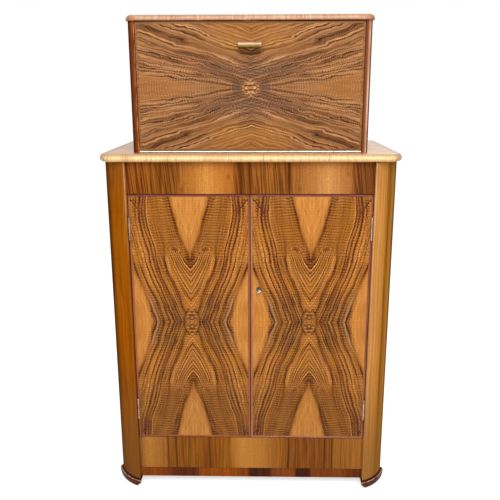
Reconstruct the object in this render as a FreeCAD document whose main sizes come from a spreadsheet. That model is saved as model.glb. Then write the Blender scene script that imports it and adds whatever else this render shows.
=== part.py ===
import FreeCAD, Part
import Sketcher
import math
import os
import re

# Stepped walnut cocktail cabinet: a two-door cupboard on bowed corner posts,
# with a smaller fall-front box standing on its top board.
# Millimetres, +X to the right, +Y to the back, +Z up; the origin lies on the
# floor under the middle of the lower top board.

SIZES = {
    # lower top board
    "top_side_overhang": 6.6,
    "top_depth": 440,
    "top_thick": 20,
    "top_corner_round": 50,
    "top_upper_round": 12,
    "top_lower_round": 7,
    "top_front_overhang": 10,
    "top_back_overhang": 8,
    "cabinet_height": 963,
    # corner posts, side panels and boards
    "body_width": 768,
    "post_width": 62.5,
    "post_bow": 113,
    "post_proud": 14,
    "post_depth": 73,
    "post_arris": 2,
    "side_thick": 18,
    "base_thick": 18,
    "back_thick": 6,
    "back_inset": 6,
    "back_gap": 2,
    "shelf_thick": 16,
    "shelf_gap": 1,
    "shelf_height": 350,
    "shelf_setback": 7,
    "bearer_side": 14,
    "cleat_side": 20,
    # feet
    "foot_height": 24,
    "foot_spread": 7.1,
    "foot_inner_spread": 3,
    "foot_end_cut": 17,
    "foot_lower_round": 9,
    "foot_upper_round": 8.5,
    "rear_foot_side": 45,
    # rails
    "rail_thick": 20,
    "plinth_height": 31,
    "plinth_setback": 3,
    "bottom_rail_height": 98,
    "frieze_height": 84,
    "stop_width": 60,
    "stop_thick": 12,
    "stop_height": 30,
    "stop_lap": 14,
    "stop_inset": 80,
    # doors
    "door_thick": 19,
    "door_gap": 2,
    "meeting_gap": 2.2,
    "hinge_gap": 2.4,
    "lipping": 5,
    # butt hinges
    "butt_length": 62,
    "butt_inset": 90,
    "butt_radius": 2.75,
    "butt_pin_radius": 1.2,
    "butt_leaf_thick": 1,
    "butt_leaf_width": 16,
    "butt_post_gap": 0.35,
    "butt_face_gap": 0.45,
    "running_gap": 0.3,
    # lock, key and keep
    "key_inset": 23,
    "key_height": 444,
    "key_radius": 2.2,
    "key_reach": 8,
    "key_bow_radius": 6.5,
    "key_bow_wire": 1.8,
    "key_collar_radius": 3.4,
    "key_collar_length": 3,
    "key_bit_length": 7.5,
    "key_bit_thick": 2.4,
    "key_bit_width": 6,
    "key_hole_gap": 0.5,
    "key_tilt": 62,
    "escutcheon_radius": 8,
    "escutcheon_thick": 1.2,
    "lock_width": 54,
    "lock_height": 52,
    "lock_depth": 13,
    "lock_wall": 1.5,
    "lock_margin": 3,
    "lock_bolt_rise": 10,
    "lock_bolt_height": 8,
    "lock_bolt_thick": 7,
    "lock_bolt_length": 42,
    "lock_bolt_gap": 0.6,
    "keep_width": 14,
    "keep_margin": 1,
    "keep_wall": 3,
    # slide bolts of the left door
    "slide_inset": 30,
    "slide_radius": 3.5,
    "slide_length": 80,
    "slide_margin": 1,
    "slide_stand_off": 7.5,
    "slide_plate_width": 24,
    "slide_plate_length": 70,
    "slide_plate_thick": 2,
    "slide_plate_margin": 10,
    "slide_block_width": 14,
    "slide_block_depth": 11,
    "slide_block_height": 10,
    "slide_knob_radius": 3,
    "slide_knob_length": 13,
    "slide_hole_gap": 0.8,
    # upper box
    "upper_height": 337,
    "upper_setback": 43.4,
    "upper_side_setback": 89.6,
    "upper_back_setback": 20.6,
    "upper_side_thick": 15,
    "upper_floor_thick": 22,
    "upper_top_thick": 14.4,
    "upper_top_side_overhang": 6.4,
    "upper_top_front_overhang": 6,
    "upper_top_back_overhang": 12,
    "upper_top_corner_round": 14,
    "upper_top_upper_round": 12.6,
    "upper_top_lower_round": 1.2,
    "mirror_thick": 4,
    "mirror_gap": 1,
    "bead_side": 8,
    "glass_thick": 6,
    "glass_drop": 145.6,
    "glass_depth": 245,
    "glass_gap": 2,
    "glass_back_gap": 2,
    "peg_radius": 3,
    "peg_length": 10,
    "peg_inset": 40,
    # fall flap and its long hinge
    "flap_thick": 19,
    "flap_side_gap": 1.5,
    "flap_top_gap": 2,
    "floor_gap": 1.6,
    "piano_radius": 2.6,
    "piano_pin_radius": 1,
    "piano_leaf_thick": 1.2,
    "piano_leaf_reach": 17.8,
    "piano_forward": 1.2,
    # pull handle
    "handle_length": 56.4,
    "handle_radius": 8,
    "handle_collar_radius": 8.7,
    "handle_collar_length": 5,
    "handle_drop": 56.6,
    "handle_gap": 12,
    "handle_post_radius": 4.5,
    "handle_post_spacing": 34,
    "screw_radius": 2,
    "screw_head_radius": 4,
    "screw_head_thick": 1.5,
    # sliding stays of the flap
    "stay_reach": 150,
    "stay_stand_off": 11.8,
    "stay_thick": 3,
    "stay_width": 10,
    "stay_side_gap": 3.5,
    "stay_end": 6,
    "stay_slot_gap": 0.3,
    "stay_stop_length": 6,
    "stay_stop_width": 14,
    "stay_pin_radius": 2,
    "stay_pin_end": 0.5,
    "stay_lug_gap": 2,
    "stay_lug_thick": 3.5,
    "stay_plate_length": 26,
    "stay_plate_width": 22,
    "stay_plate_thick": 2,
    "guide_length": 14,
    "guide_width": 18,
    "guide_wall": 2.6,
    "guide_pivot_radius": 2.5,
    # ball catch
    "catch_radius": 4.5,
    "catch_length": 18,
    "catch_ball_radius": 3,
    "catch_ball_rise": 0.7,
    "catch_bore_depth": 10,
    "strike_length": 34,
    "strike_width": 12,
    "strike_thick": 0.8,
    "strike_hole_radius": 2.5,
    # screws of the back panels
    "back_screw_radius": 3.5,
    "back_screw_thick": 1.5,
    "back_screw_margin": 30,
    "overrun": 5,
}

STAY_SPREAD = 28  # angle in degrees at the flap axis between a stay's two pivots
FLAP_FALL = 90  # angle in degrees through which the flap falls
BUTT_KNUCKLES = 5
PIANO_KNUCKLES = 29
FOOT_SLANT = 45  # angle in degrees of the inner end of a front foot
BACK_SCREW_SHARES = (0, 0.33, 0.67, 1)

# Heights of the lower cabinet
PLINTH_TOP = "(foot_height + plinth_height)"
RAIL_TOP = f"({PLINTH_TOP} + bottom_rail_height)"
TOP_UNDER = "(cabinet_height - top_thick)"
FRIEZE_LOW = f"({TOP_UNDER} - frieze_height)"
DOOR_LOW = f"({RAIL_TOP} + door_gap)"
DOOR_HIGH = f"({FRIEZE_LOW} - door_gap)"
BASE_LOW = f"({RAIL_TOP} - base_thick)"
SHELF_LOW = f"({RAIL_TOP} + shelf_height)"

# Depths of the lower cabinet
TOP_FRONT = "(-top_depth / 2)"
TOP_BACK = "(top_depth / 2)"
POST_FACE = f"({TOP_FRONT} + top_front_overhang)"
POST_BACK = f"({POST_FACE} + post_depth)"
DOOR_FACE = f"({POST_FACE} + post_proud)"
DOOR_BACK = f"({DOOR_FACE} + door_thick)"
RAIL_BACK = f"({DOOR_FACE} + rail_thick)"
CARCASS_BACK = f"({TOP_BACK} - top_back_overhang)"

# Half widths of the lower cabinet
BODY = "(body_width / 2)"
TOP_HALF = f"({BODY} + top_side_overhang)"
OPENING = f"({BODY} - post_width)"
INSIDE = f"({BODY} - side_thick)"
DOOR_OUTER = f"({OPENING} - hinge_gap)"
DOOR_INNER = "(meeting_gap / 2)"

# The bow of a corner post is one arc from its front edge to the side panel.
BOW_HALF = "sqrt(post_bow * post_bow / 2 - post_width * post_width / 4)"
BOW_X = f"({OPENING} + post_width / 2 - {BOW_HALF})"
BOW_Y = f"({POST_FACE} + post_width / 2 + {BOW_HALF})"
FOOT_BOW = "(post_bow + foot_spread)"
FOOT_INNER = f"({OPENING} - foot_inner_spread)"
FOOT_AHEAD = f"({FOOT_INNER} - {BOW_X})"
FOOT_BEHIND = f"({BOW_Y} - {POST_BACK})"
FOOT_FRONT = f"({BOW_Y} - sqrt({FOOT_BOW} * {FOOT_BOW} - {FOOT_AHEAD} * {FOOT_AHEAD}))"
FOOT_SIDE = f"({BOW_X} + sqrt({FOOT_BOW} * {FOOT_BOW} - {FOOT_BEHIND} * {FOOT_BEHIND}))"

# Door hinge axis, in front of the door face and beside the post
BUTT_X = f"({OPENING} - butt_post_gap - butt_radius)"
BUTT_Y = f"({DOOR_FACE} - butt_face_gap - butt_radius)"

# Upper box
UPPER = f"({TOP_HALF} - upper_side_setback)"
UPPER_INSIDE = f"({UPPER} - upper_side_thick)"
UPPER_FACE = f"({TOP_FRONT} + upper_setback)"
UPPER_BACK = f"({TOP_BACK} - upper_back_setback)"
TOTAL = "(cabinet_height + upper_height)"
UPPER_UNDER = f"({TOTAL} - upper_top_thick)"
FLOOR_TOP = "(cabinet_height + upper_floor_thick)"
FLAP_BACK = f"({UPPER_FACE} + flap_thick)"
FLAP_HALF = f"({UPPER_INSIDE} - flap_side_gap)"
FLAP_HIGH = f"({UPPER_UNDER} - flap_top_gap)"
PIANO_Y = f"({UPPER_FACE} - piano_forward)"
PIANO_Z = "(cabinet_height + running_gap + piano_radius)"
FLAP_LOW = f"({PIANO_Z} + piano_radius)"
GLASS_LOW = f"({UPPER_UNDER} - glass_drop)"
MIRROR_FACE = f"({UPPER_BACK} - mirror_thick)"
BEAD_FACE = f"({MIRROR_FACE} - bead_side)"

# Stays: both pivots lie on one circle round the flap axis, so that the bar
# turns by exactly half the angle of the flap.
STAY_AHEAD = f"({FLAP_BACK} + stay_stand_off - {PIANO_Y})"
STAY_START = f"asin({STAY_AHEAD} / stay_reach)"
STAY_A_Y = f"({PIANO_Y} + {STAY_AHEAD})"
STAY_A_Z = f"({PIANO_Z} + stay_reach * cos({STAY_START}))"
STAY_B_ANGLE = f"({STAY_START} + {STAY_SPREAD} deg)"
STAY_B_Y = f"({PIANO_Y} + stay_reach * sin({STAY_B_ANGLE}))"
STAY_B_Z = f"({PIANO_Z} + stay_reach * cos({STAY_B_ANGLE}))"
STAY_TILT = f"(-({STAY_START} + {STAY_SPREAD / 2} deg))"
STAY_PULLED = f"(2 * stay_reach * sin({(FLAP_FALL + STAY_SPREAD) / 2} deg))"
STAY_LENGTH = f"({STAY_PULLED} + guide_length / 2 + running_gap + stay_stop_length)"
STAY_OUTER = f"({UPPER_INSIDE} - stay_side_gap)"
STAY_INNER = f"({STAY_OUTER} - stay_thick)"
STAY_MIDDLE = f"({STAY_OUTER} - stay_thick / 2)"

# Lock, key and slide bolts
KEY_X = f"({DOOR_INNER} + key_inset)"
KEY_Z = f"({DOOR_LOW} + key_height)"
LOCK_LEFT = f"({DOOR_INNER} + lock_margin)"
LOCK_BACK = f"({DOOR_BACK} + lock_depth)"
LOCK_BOLT_LOW = f"({KEY_Z} + lock_bolt_rise)"
LOCK_BOLT_HIGH = f"({LOCK_BOLT_LOW} + lock_bolt_height)"
LOCK_BOLT_Y = f"({DOOR_BACK} + (lock_depth - lock_wall - lock_bolt_thick) / 2)"
SLIDE_X = f"(-({DOOR_INNER} + slide_inset))"
SLIDE_Y = f"({DOOR_BACK} + slide_stand_off)"

doc = FreeCAD.newDocument("cellarette")
sheet = doc.addObject("Spreadsheet::Sheet", "dims")
nodes = {}
turn_to = {
    "x": FreeCAD.Rotation(FreeCAD.Vector(0, 1, 0), 90),
    "y": FreeCAD.Rotation(FreeCAD.Vector(1, 0, 0), -90),
    "z": FreeCAD.Rotation(),
}


def fill_sheet():
    for row, (alias, size) in enumerate(SIZES.items(), start=1):
        sheet.set(f"A{row}", alias)
        sheet.set(f"B{row}", str(size))
        sheet.setAlias(f"B{row}", alias)
    doc.recompute()


def bound(text):
    # prefix each size in an expression with the name of its sheet
    return re.sub(r"[a-z_]+", lambda word: f"dims.{word[0]}" if word[0] in SIZES else word[0], str(text))


def value(text):
    result = sheet.evalExpression(bound(text))
    return float(getattr(result, "Value", result))


def node(label, piece):
    piece.Label = label
    nodes[label] = piece
    return piece


def span(side, inner, outer):
    # low and high x of a piece on the right (+1) or on the left (-1)
    if side > 0:
        return inner, outer
    return f"(-{outer})", f"(-{inner})"


def side_name(side):
    return "right" if side > 0 else "left"


def even(half):
    return f"(-{half})", half


def about(middle, length):
    return f"({middle} - {length} / 2)", f"({middle} + {length} / 2)"


def onward(start, length):
    return start, f"({start} + {length})"


def past(low, high):
    # a cut that runs on past both faces
    return f"({low} - overrun)", f"({high} + overrun)"


def box(name, x, y, z):
    piece = doc.addObject("Part::Box", name)
    for length, axis, (low, high) in zip(("Length", "Width", "Height"), "xyz", (x, y, z)):
        piece.setExpression(length, bound(f"{high} - {low}"))
        piece.setExpression(f"Placement.Base.{axis}", bound(low))
    return piece


def rod(name, axis, centre, ends, radius):
    # centre gives the two coordinates across the axis, in x, y, z order
    piece = doc.addObject("Part::Cylinder", name)
    piece.Placement = FreeCAD.Placement(FreeCAD.Vector(), turn_to[axis])
    base = list(centre)
    base.insert("xyz".index(axis), ends[0])
    for letter, place in zip("xyz", base):
        piece.setExpression(f"Placement.Base.{letter}", bound(place))
    piece.setExpression("Height", bound(f"{ends[1]} - {ends[0]}"))
    piece.setExpression("Radius", bound(radius))
    return piece


def fuse(name, pieces):
    piece = doc.addObject("Part::MultiFuse", name)
    piece.Shapes = pieces
    return piece


def cut(name, base, tools):
    piece = doc.addObject("Part::Cut", name)
    piece.Base = base
    piece.Tool = tools[0] if len(tools) == 1 else fuse(f"{name}_tools", tools)
    return piece


def group(name, pieces):
    piece = doc.addObject("Part::Compound", name)
    piece.Links = pieces
    return piece


def place(piece, x, y, z, axis=None, angle=None):
    if axis is not None:
        piece.Placement = FreeCAD.Placement(FreeCAD.Vector(), FreeCAD.Rotation(axis, 1))
        piece.setExpression("Placement.Rotation.Angle", bound(angle))
    for letter, where in zip("xyz", (x, y, z)):
        piece.setExpression(f"Placement.Base.{letter}", bound(where))
    return piece


def mirrored(name, piece):
    # the left-hand twin of a right-hand piece
    twin = doc.addObject("Part::Mirroring", name)
    twin.Source = piece
    twin.Normal = FreeCAD.Vector(1, 0, 0)
    return twin


def arc_between(first, last, radius):
    # an arc that bulges to the right of the way from the first point to the last
    way = last - first
    half = way.Length / 2
    outward = FreeCAD.Vector(way.y, -way.x, 0).normalize()
    bulge = radius - math.sqrt(radius * radius - half * half)
    return Part.Arc(first, (first + last) / 2 + outward * bulge, last)


def slab(name, points, z, bow=None):
    # a body padded upwards from a many-sided plan whose corners are bound to the sheet;
    # with a bow, the first side is an arc of that radius
    body = doc.addObject("PartDesign::Body", f"{name}_body")
    sketch = body.newObject("Sketcher::SketchObject", f"{name}_plan")
    plane = next(f for f in body.Origin.OriginFeatures if f.Role == "XY_Plane")
    sketch.AttachmentSupport = [(plane, "")]
    sketch.MapMode = "FlatFace"
    sketch.setExpression("AttachmentOffset.Base.z", bound(z[0]))
    corners = [FreeCAD.Vector(value(x), value(y), 0) for x, y in points]
    for index, corner in enumerate(corners):
        following = corners[(index + 1) % len(corners)]
        if bow and index == 0:
            sketch.addGeometry(arc_between(corner, following, value(bow)), False)
        else:
            sketch.addGeometry(Part.LineSegment(corner, following), False)
    for index in range(len(corners)):
        sketch.addConstraint(Sketcher.Constraint("Coincident", index, 2, (index + 1) % len(corners), 1))
    for index, (point, corner) in enumerate(zip(points, corners)):
        for kind, text, number in zip(("DistanceX", "DistanceY"), point, corner):
            constraint = sketch.addConstraint(Sketcher.Constraint(kind, -1, 1, index, 1, number))
            sketch.setExpression(f"Constraints[{constraint}]", bound(text))
    if bow:
        constraint = sketch.addConstraint(Sketcher.Constraint("Radius", 0, value(bow)))
        sketch.setExpression(f"Constraints[{constraint}]", bound(bow))
    pad = body.newObject("PartDesign::Pad", f"{name}_pad")
    pad.Profile = sketch
    pad.setExpression("Length", bound(f"{z[1]} - {z[0]}"))
    doc.recompute()
    return body


def round_edges(body, radius, wanted):
    # round the edges whose middle point passes the test
    base = body.Tip
    names = []
    for index, edge in enumerate(base.Shape.Edges, start=1):
        first, last = edge.ParameterRange
        if wanted(edge.valueAt((first + last) / 2), edge):
            names.append(f"Edge{index}")
    fillet = body.newObject("PartDesign::Fillet", f"{body.Name}_round")
    fillet.Base = (base, names)
    fillet.setExpression("Radius", bound(radius))
    doc.recompute()


def upright(edge):
    return edge.BoundBox.XLength < edge.BoundBox.ZLength > edge.BoundBox.YLength


def level_at(height):
    wanted = value(height)
    slack = value("running_gap")
    return lambda point, edge: abs(point.z - wanted) < slack and edge.BoundBox.ZLength < slack


def moulded_top(name, half, y, z, corner_round, upper_round, lower_round):
    # a board with rounded front corners and a thumb-moulded front and ends
    left, right = even(half)
    body = slab(name, [(left, y[0]), (right, y[0]), (right, y[1]), (left, y[1])], z)
    round_edges(body, corner_round, lambda point, edge: upright(edge) and point.y < 0)
    back = value(y[1]) - value("running_gap")
    for height, radius in ((z[1], upper_round), (z[0], lower_round)):
        level = level_at(height)
        round_edges(body, radius, lambda point, edge: level(point, edge) and point.y < back)
    return node(name, body)


def lower_carcass():
    moulded_top("cabinet_top", TOP_HALF, (TOP_FRONT, TOP_BACK), (TOP_UNDER, "cabinet_height"),
                "top_corner_round", "top_upper_round", "top_lower_round")
    base_points = [
        (f"(-{OPENING})", RAIL_BACK), (OPENING, RAIL_BACK), (OPENING, POST_BACK), (INSIDE, POST_BACK),
        (INSIDE, CARCASS_BACK), (f"(-{INSIDE})", CARCASS_BACK), (f"(-{INSIDE})", POST_BACK),
        (f"(-{OPENING})", POST_BACK),
    ]
    base = slab("base_plan", base_points, (BASE_LOW, RAIL_TOP))
    bolt_hole = rod("base_bolt_hole", "z", (SLIDE_X, SLIDE_Y), past(BASE_LOW, RAIL_TOP),
                    "(slide_radius + slide_hole_gap)")
    node("base_board", cut("base_board", base, [bolt_hole]))
    for side in (-1, 1):
        name = f"{side_name(side)}_side_panel"
        node(name, box(name, span(side, INSIDE, BODY), (POST_BACK, CARCASS_BACK), ("foot_height", TOP_UNDER)))
    back_half = f"({BODY} - back_inset)"
    back = box("lower_back_panel", even(back_half), onward(CARCASS_BACK, "back_thick"),
               (PLINTH_TOP, f"({TOP_UNDER} - back_gap)"))
    node("lower_back_panel", back)
    shelf_half = f"({INSIDE} - shelf_gap)"
    shelf = box("lower_shelf", even(shelf_half),
                (f"({POST_BACK} + shelf_setback)", f"({CARCASS_BACK} - shelf_gap)"),
                onward(SHELF_LOW, "shelf_thick"))
    node("lower_shelf", shelf)
    bearers = []
    cleats = []
    for side in (-1, 1):
        bearers.append(box(f"{side_name(side)}_bearer", span(side, f"({INSIDE} - bearer_side)", INSIDE),
                           (POST_BACK, CARCASS_BACK), (f"({SHELF_LOW} - bearer_side)", SHELF_LOW)))
        cleats.append(box(f"{side_name(side)}_cleat", span(side, f"({INSIDE} - cleat_side)", INSIDE),
                          (POST_BACK, CARCASS_BACK), (f"({TOP_UNDER} - cleat_side)", TOP_UNDER)))
    node("shelf_bearers", group("shelf_bearers", bearers))
    node("top_cleats", group("top_cleats", cleats))


def corner_posts():
    bow_end = f"({POST_FACE} + post_width)"
    points = [(OPENING, POST_FACE), (BODY, bow_end), (BODY, POST_BACK), (OPENING, POST_BACK)]
    post = slab("right_corner_post", points, ("foot_height", TOP_UNDER), "post_bow")
    front = value(POST_FACE) + value("running_gap")
    round_edges(post, "post_arris", lambda point, edge: upright(edge) and point.y < front)
    node("right_corner_post", post)
    node("left_corner_post", mirrored("left_corner_post", post))


def feet():
    points = [(FOOT_INNER, FOOT_FRONT), (FOOT_SIDE, POST_BACK), (FOOT_INNER, POST_BACK)]
    body = slab("front_foot", points, ("0", "foot_height"), FOOT_BOW)
    back = value(POST_BACK) - value("running_gap")
    inner = value(FOOT_INNER) + value("running_gap")
    for height, radius in (("0", "foot_lower_round"), ("foot_height", "foot_upper_round")):
        level = level_at(height)
        round_edges(body, radius,
                    lambda point, edge: level(point, edge) and point.y < back and point.x > inner)
    # the inner end slants in towards the floor
    reach = "(foot_end_cut + 2 * overrun)"
    side = ("0", f"({reach} * sqrt(2))")
    slant = box("foot_slant", side, past(FOOT_FRONT, POST_BACK), side)
    place(slant, f"({FOOT_INNER} - foot_end_cut - 3 * overrun)", f"({FOOT_FRONT} - overrun)", "(-overrun)",
          FreeCAD.Vector(0, 1, 0), f"{FOOT_SLANT} deg")
    foot = cut("right_front_foot", body, [slant])
    node("right_front_foot", foot)
    node("left_front_foot", mirrored("left_front_foot", foot))
    blocks = []
    for side in (-1, 1):
        blocks.append(box(f"{side_name(side)}_rear_block", span(side, f"({BODY} - rear_foot_side)", BODY),
                          (f"({CARCASS_BACK} - rear_foot_side)", CARCASS_BACK), ("0", "foot_height")))
    node("rear_feet", group("rear_feet", blocks))


def rails():
    across = even(OPENING)
    node("frieze_rail", box("frieze_rail", across, (DOOR_FACE, RAIL_BACK), (FRIEZE_LOW, TOP_UNDER)))
    node("bottom_rail", box("bottom_rail", across, (DOOR_FACE, RAIL_BACK), (PLINTH_TOP, RAIL_TOP)))
    node("plinth_strip", box("plinth_strip", across, (f"({DOOR_FACE} + plinth_setback)", RAIL_BACK),
                             ("foot_height", PLINTH_TOP)))
    stops = []
    for side in (-1, 1):
        stops.append(box(f"{side_name(side)}_stop", span(side, "stop_inset", "(stop_inset + stop_width)"),
                         onward(RAIL_BACK, "stop_thick"), onward(f"({FRIEZE_LOW} - stop_lap)", "stop_height")))
    node("door_stops", group("door_stops", stops))


def key_hole_tools(name, ends):
    # a round hole with a slot under it, for the key's bit
    hole_radius = "(key_radius + key_hole_gap)"
    round_hole = rod(f"{name}_round", "y", (KEY_X, KEY_Z), ends, hole_radius)
    slot = box(f"{name}_slot", about(KEY_X, "(key_bit_thick + 2 * key_hole_gap)"), ends,
               (f"({KEY_Z} - key_bit_length - key_hole_gap)", KEY_Z))
    return [round_hole, slot]


def doors():
    for side in (-1, 1):
        name = side_name(side)
        depth = (DOOR_FACE, DOOR_BACK)
        panel_x = span(side, f"({DOOR_INNER} + lipping)", f"({DOOR_OUTER} - lipping)")
        panel_z = (f"({DOOR_LOW} + lipping)", f"({DOOR_HIGH} - lipping)")
        panel = box(f"{name}_door_board", panel_x, depth, panel_z)
        if side > 0:
            panel = cut("right_door_drilled", panel, key_hole_tools("door_key_hole", past(*depth)))
        node(f"{name}_door_panel", panel)
        inner_x = span(side, DOOR_INNER, f"({DOOR_INNER} + lipping)")
        outer_x = span(side, f"({DOOR_OUTER} - lipping)", DOOR_OUTER)
        strips = [
            box(f"{name}_lip_inner", inner_x, depth, (DOOR_LOW, DOOR_HIGH)),
            box(f"{name}_lip_outer", outer_x, depth, (DOOR_LOW, DOOR_HIGH)),
            box(f"{name}_lip_low", panel_x, depth, (DOOR_LOW, panel_z[0])),
            box(f"{name}_lip_high", panel_x, depth, (panel_z[1], DOOR_HIGH)),
        ]
        node(f"{name}_door_lipping", group(f"{name}_door_lipping", strips))


def butt_leaf(name, side, middle, knuckles, leaf_x):
    # one leaf: a plate in the gap, and a tongue and a barrel for each of its knuckles
    low = f"({middle} - butt_length / 2)"
    pitch = f"(butt_length / {BUTT_KNUCKLES})"
    whole = onward(low, "butt_length")
    pieces = [box(f"{name}_plate", leaf_x, onward(DOOR_FACE, "butt_leaf_width"), whole)]
    axis_x = f"({side} * {BUTT_X})"
    for index in knuckles:
        ends = onward(f"({low} + {index} * {pitch} + running_gap / 2)", f"({pitch} - running_gap)")
        pieces.append(box(f"{name}_tongue", leaf_x, (BUTT_Y, DOOR_FACE), ends))
        pieces.append(rod(f"{name}_barrel", "z", (axis_x, BUTT_Y), ends, "butt_radius"))
    bore = rod(f"{name}_bore", "z", (axis_x, BUTT_Y), past(*whole), "(butt_pin_radius + running_gap)")
    return cut(name, fuse(f"{name}_solid", pieces), [bore])


def butt_hinges():
    middles = (f"({DOOR_LOW} + butt_inset)", f"({DOOR_HIGH} - butt_inset)")
    post_knuckles = range(0, BUTT_KNUCKLES, 2)
    door_knuckles = range(1, BUTT_KNUCKLES, 2)
    pins = []
    post_leaves = []
    for side in (-1, 1):
        name = side_name(side)
        door_leaves = []
        post_x = span(side, f"({OPENING} - butt_leaf_thick)", OPENING)
        door_x = span(side, DOOR_OUTER, f"({DOOR_OUTER} + butt_leaf_thick)")
        for level, middle in zip(("low", "high"), middles):
            label = f"{name}_{level}"
            post_leaves.append(butt_leaf(f"{label}_post_leaf", side, middle, post_knuckles, post_x))
            door_leaves.append(butt_leaf(f"{label}_door_leaf", side, middle, door_knuckles, door_x))
            pins.append(rod(f"{label}_pin", "z", (f"({side} * {BUTT_X})", BUTT_Y),
                            about(middle, "butt_length"), "butt_pin_radius"))
        node(f"{name}_door_hinge_leaves", group(f"{name}_door_hinge_leaves", door_leaves))
    node("post_hinge_leaves", group("post_hinge_leaves", post_leaves))
    node("door_hinge_pins", group("door_hinge_pins", pins))


def lock():
    lock_z = about(KEY_Z, "lock_height")
    shell = box("lock_shell", onward(LOCK_LEFT, "lock_width"), (DOOR_BACK, LOCK_BACK), lock_z)
    hollow = box("lock_hollow", (f"({LOCK_LEFT} + lock_wall)", f"({LOCK_LEFT} + lock_width - lock_wall)"),
                 (f"({DOOR_BACK} - overrun)", f"({LOCK_BACK} - lock_wall)"),
                 (f"({lock_z[0]} + lock_wall)", f"({lock_z[1]} - lock_wall)"))
    slot_y = (f"({LOCK_BOLT_Y} - lock_bolt_gap)", f"({LOCK_BOLT_Y} + lock_bolt_thick + lock_bolt_gap)")
    slot_z = (f"({LOCK_BOLT_LOW} - lock_bolt_gap)", f"({LOCK_BOLT_HIGH} + lock_bolt_gap)")
    slot = box("lock_slot", past(LOCK_LEFT, LOCK_LEFT), slot_y, slot_z)
    node("lock_case", cut("lock_case", shell, [hollow, slot]))
    bolt = box("lock_bolt", onward(LOCK_LEFT, "lock_bolt_length"), onward(LOCK_BOLT_Y, "lock_bolt_thick"),
               (LOCK_BOLT_LOW, LOCK_BOLT_HIGH))
    node("lock_bolt", bolt)
    keep_right = f"(-({DOOR_INNER} + keep_margin))"
    keep_x = (f"({keep_right} - keep_width)", keep_right)
    keep_block = box("keep_block", keep_x, (DOOR_BACK, f"({slot_y[1]} + keep_wall)"),
                     (f"({slot_z[0]} - keep_wall)", f"({slot_z[1]} + keep_wall)"))
    keep_slot = box("keep_slot", past(*keep_x), (f"({DOOR_BACK} - overrun)", slot_y[1]), slot_z)
    node("lock_keep", cut("lock_keep", keep_block, [keep_slot]))
    plate_y = (f"({DOOR_FACE} - escutcheon_thick)", DOOR_FACE)
    plate = rod("escutcheon_disc", "y", (KEY_X, KEY_Z), plate_y, "escutcheon_radius")
    node("escutcheon", cut("escutcheon", plate, key_hole_tools("escutcheon_hole", past(*plate_y))))


def key():
    # modelled round its own axis with the bit downwards, then turned to its resting tilt
    tip = f"({LOCK_BACK} - lock_wall - running_gap - {DOOR_FACE})"
    shaft = rod("key_shaft", "y", ("0", "0"), ("(-key_reach)", tip), "key_radius")
    collar = rod("key_collar", "y", ("0", "0"), onward("(-key_reach)", "key_collar_length"),
                 "key_collar_radius")
    bow = doc.addObject("Part::Torus", "key_bow")
    bow.Placement = FreeCAD.Placement(FreeCAD.Vector(), turn_to["x"])
    bow.setExpression("Radius1", bound("key_bow_radius"))
    bow.setExpression("Radius2", bound("key_bow_wire"))
    bow.setExpression("Placement.Base.y", bound("-key_reach - key_bow_radius"))
    bit = box("key_bit", about("0", "key_bit_thick"), (f"({tip} - key_bit_width)", tip),
              ("(-key_bit_length)", "0"))
    whole = fuse("key", [shaft, collar, bow, bit])
    node("key", place(whole, KEY_X, DOOR_FACE, KEY_Z, FreeCAD.Vector(0, 1, 0), "key_tilt"))


def slide_bolt(name, tip, way):
    # a bolt that runs back from its tip (way is 1 upwards, -1 downwards) through the two blocks of its plate
    def along(near, far):
        first = f"({tip} + {way} * {near})"
        last = f"({tip} + {way} * {far})"
        return (first, last) if way > 0 else (last, first)

    plate_face = f"({DOOR_BACK} + slide_plate_thick)"
    plate_end = "(slide_plate_margin + slide_plate_length)"
    pieces = [box(f"{name}_slide_plate", about(SLIDE_X, "slide_plate_width"), (DOOR_BACK, plate_face),
                  along("slide_plate_margin", plate_end))]
    for start in ("slide_plate_margin", f"({plate_end} - slide_block_height)"):
        pieces.append(box(f"{name}_slide_block", about(SLIDE_X, "slide_block_width"),
                          onward(plate_face, "slide_block_depth"),
                          along(start, f"({start} + slide_block_height)")))
    bore = rod(f"{name}_slide_bore", "z", (SLIDE_X, SLIDE_Y), along("(-overrun)", "(slide_length + overrun)"),
               "(slide_radius + running_gap)")
    shaft = rod(f"{name}_slide_shaft", "z", (SLIDE_X, SLIDE_Y), along("0", "slide_length"), "slide_radius")
    middle = f"({tip} + {way} * (slide_plate_margin + slide_plate_length / 2))"
    knob = rod(f"{name}_slide_knob", "y", (SLIDE_X, middle), onward(SLIDE_Y, "slide_knob_length"),
               "slide_knob_radius")
    node(f"{name}_slide_bolt", fuse(f"{name}_slide_bolt", [shaft, knob]))
    return cut(f"{name}_slide_housing", fuse(f"{name}_slide_solid", pieces), [bore])


def slide_bolts():
    # the upper bolt slides up behind the frieze, the lower one down into the base board
    upper = slide_bolt("upper", f"({DOOR_HIGH} - slide_margin)", -1)
    lower = slide_bolt("lower", f"({DOOR_LOW} + slide_margin)", 1)
    node("slide_housings", group("slide_housings", [upper, lower]))


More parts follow.
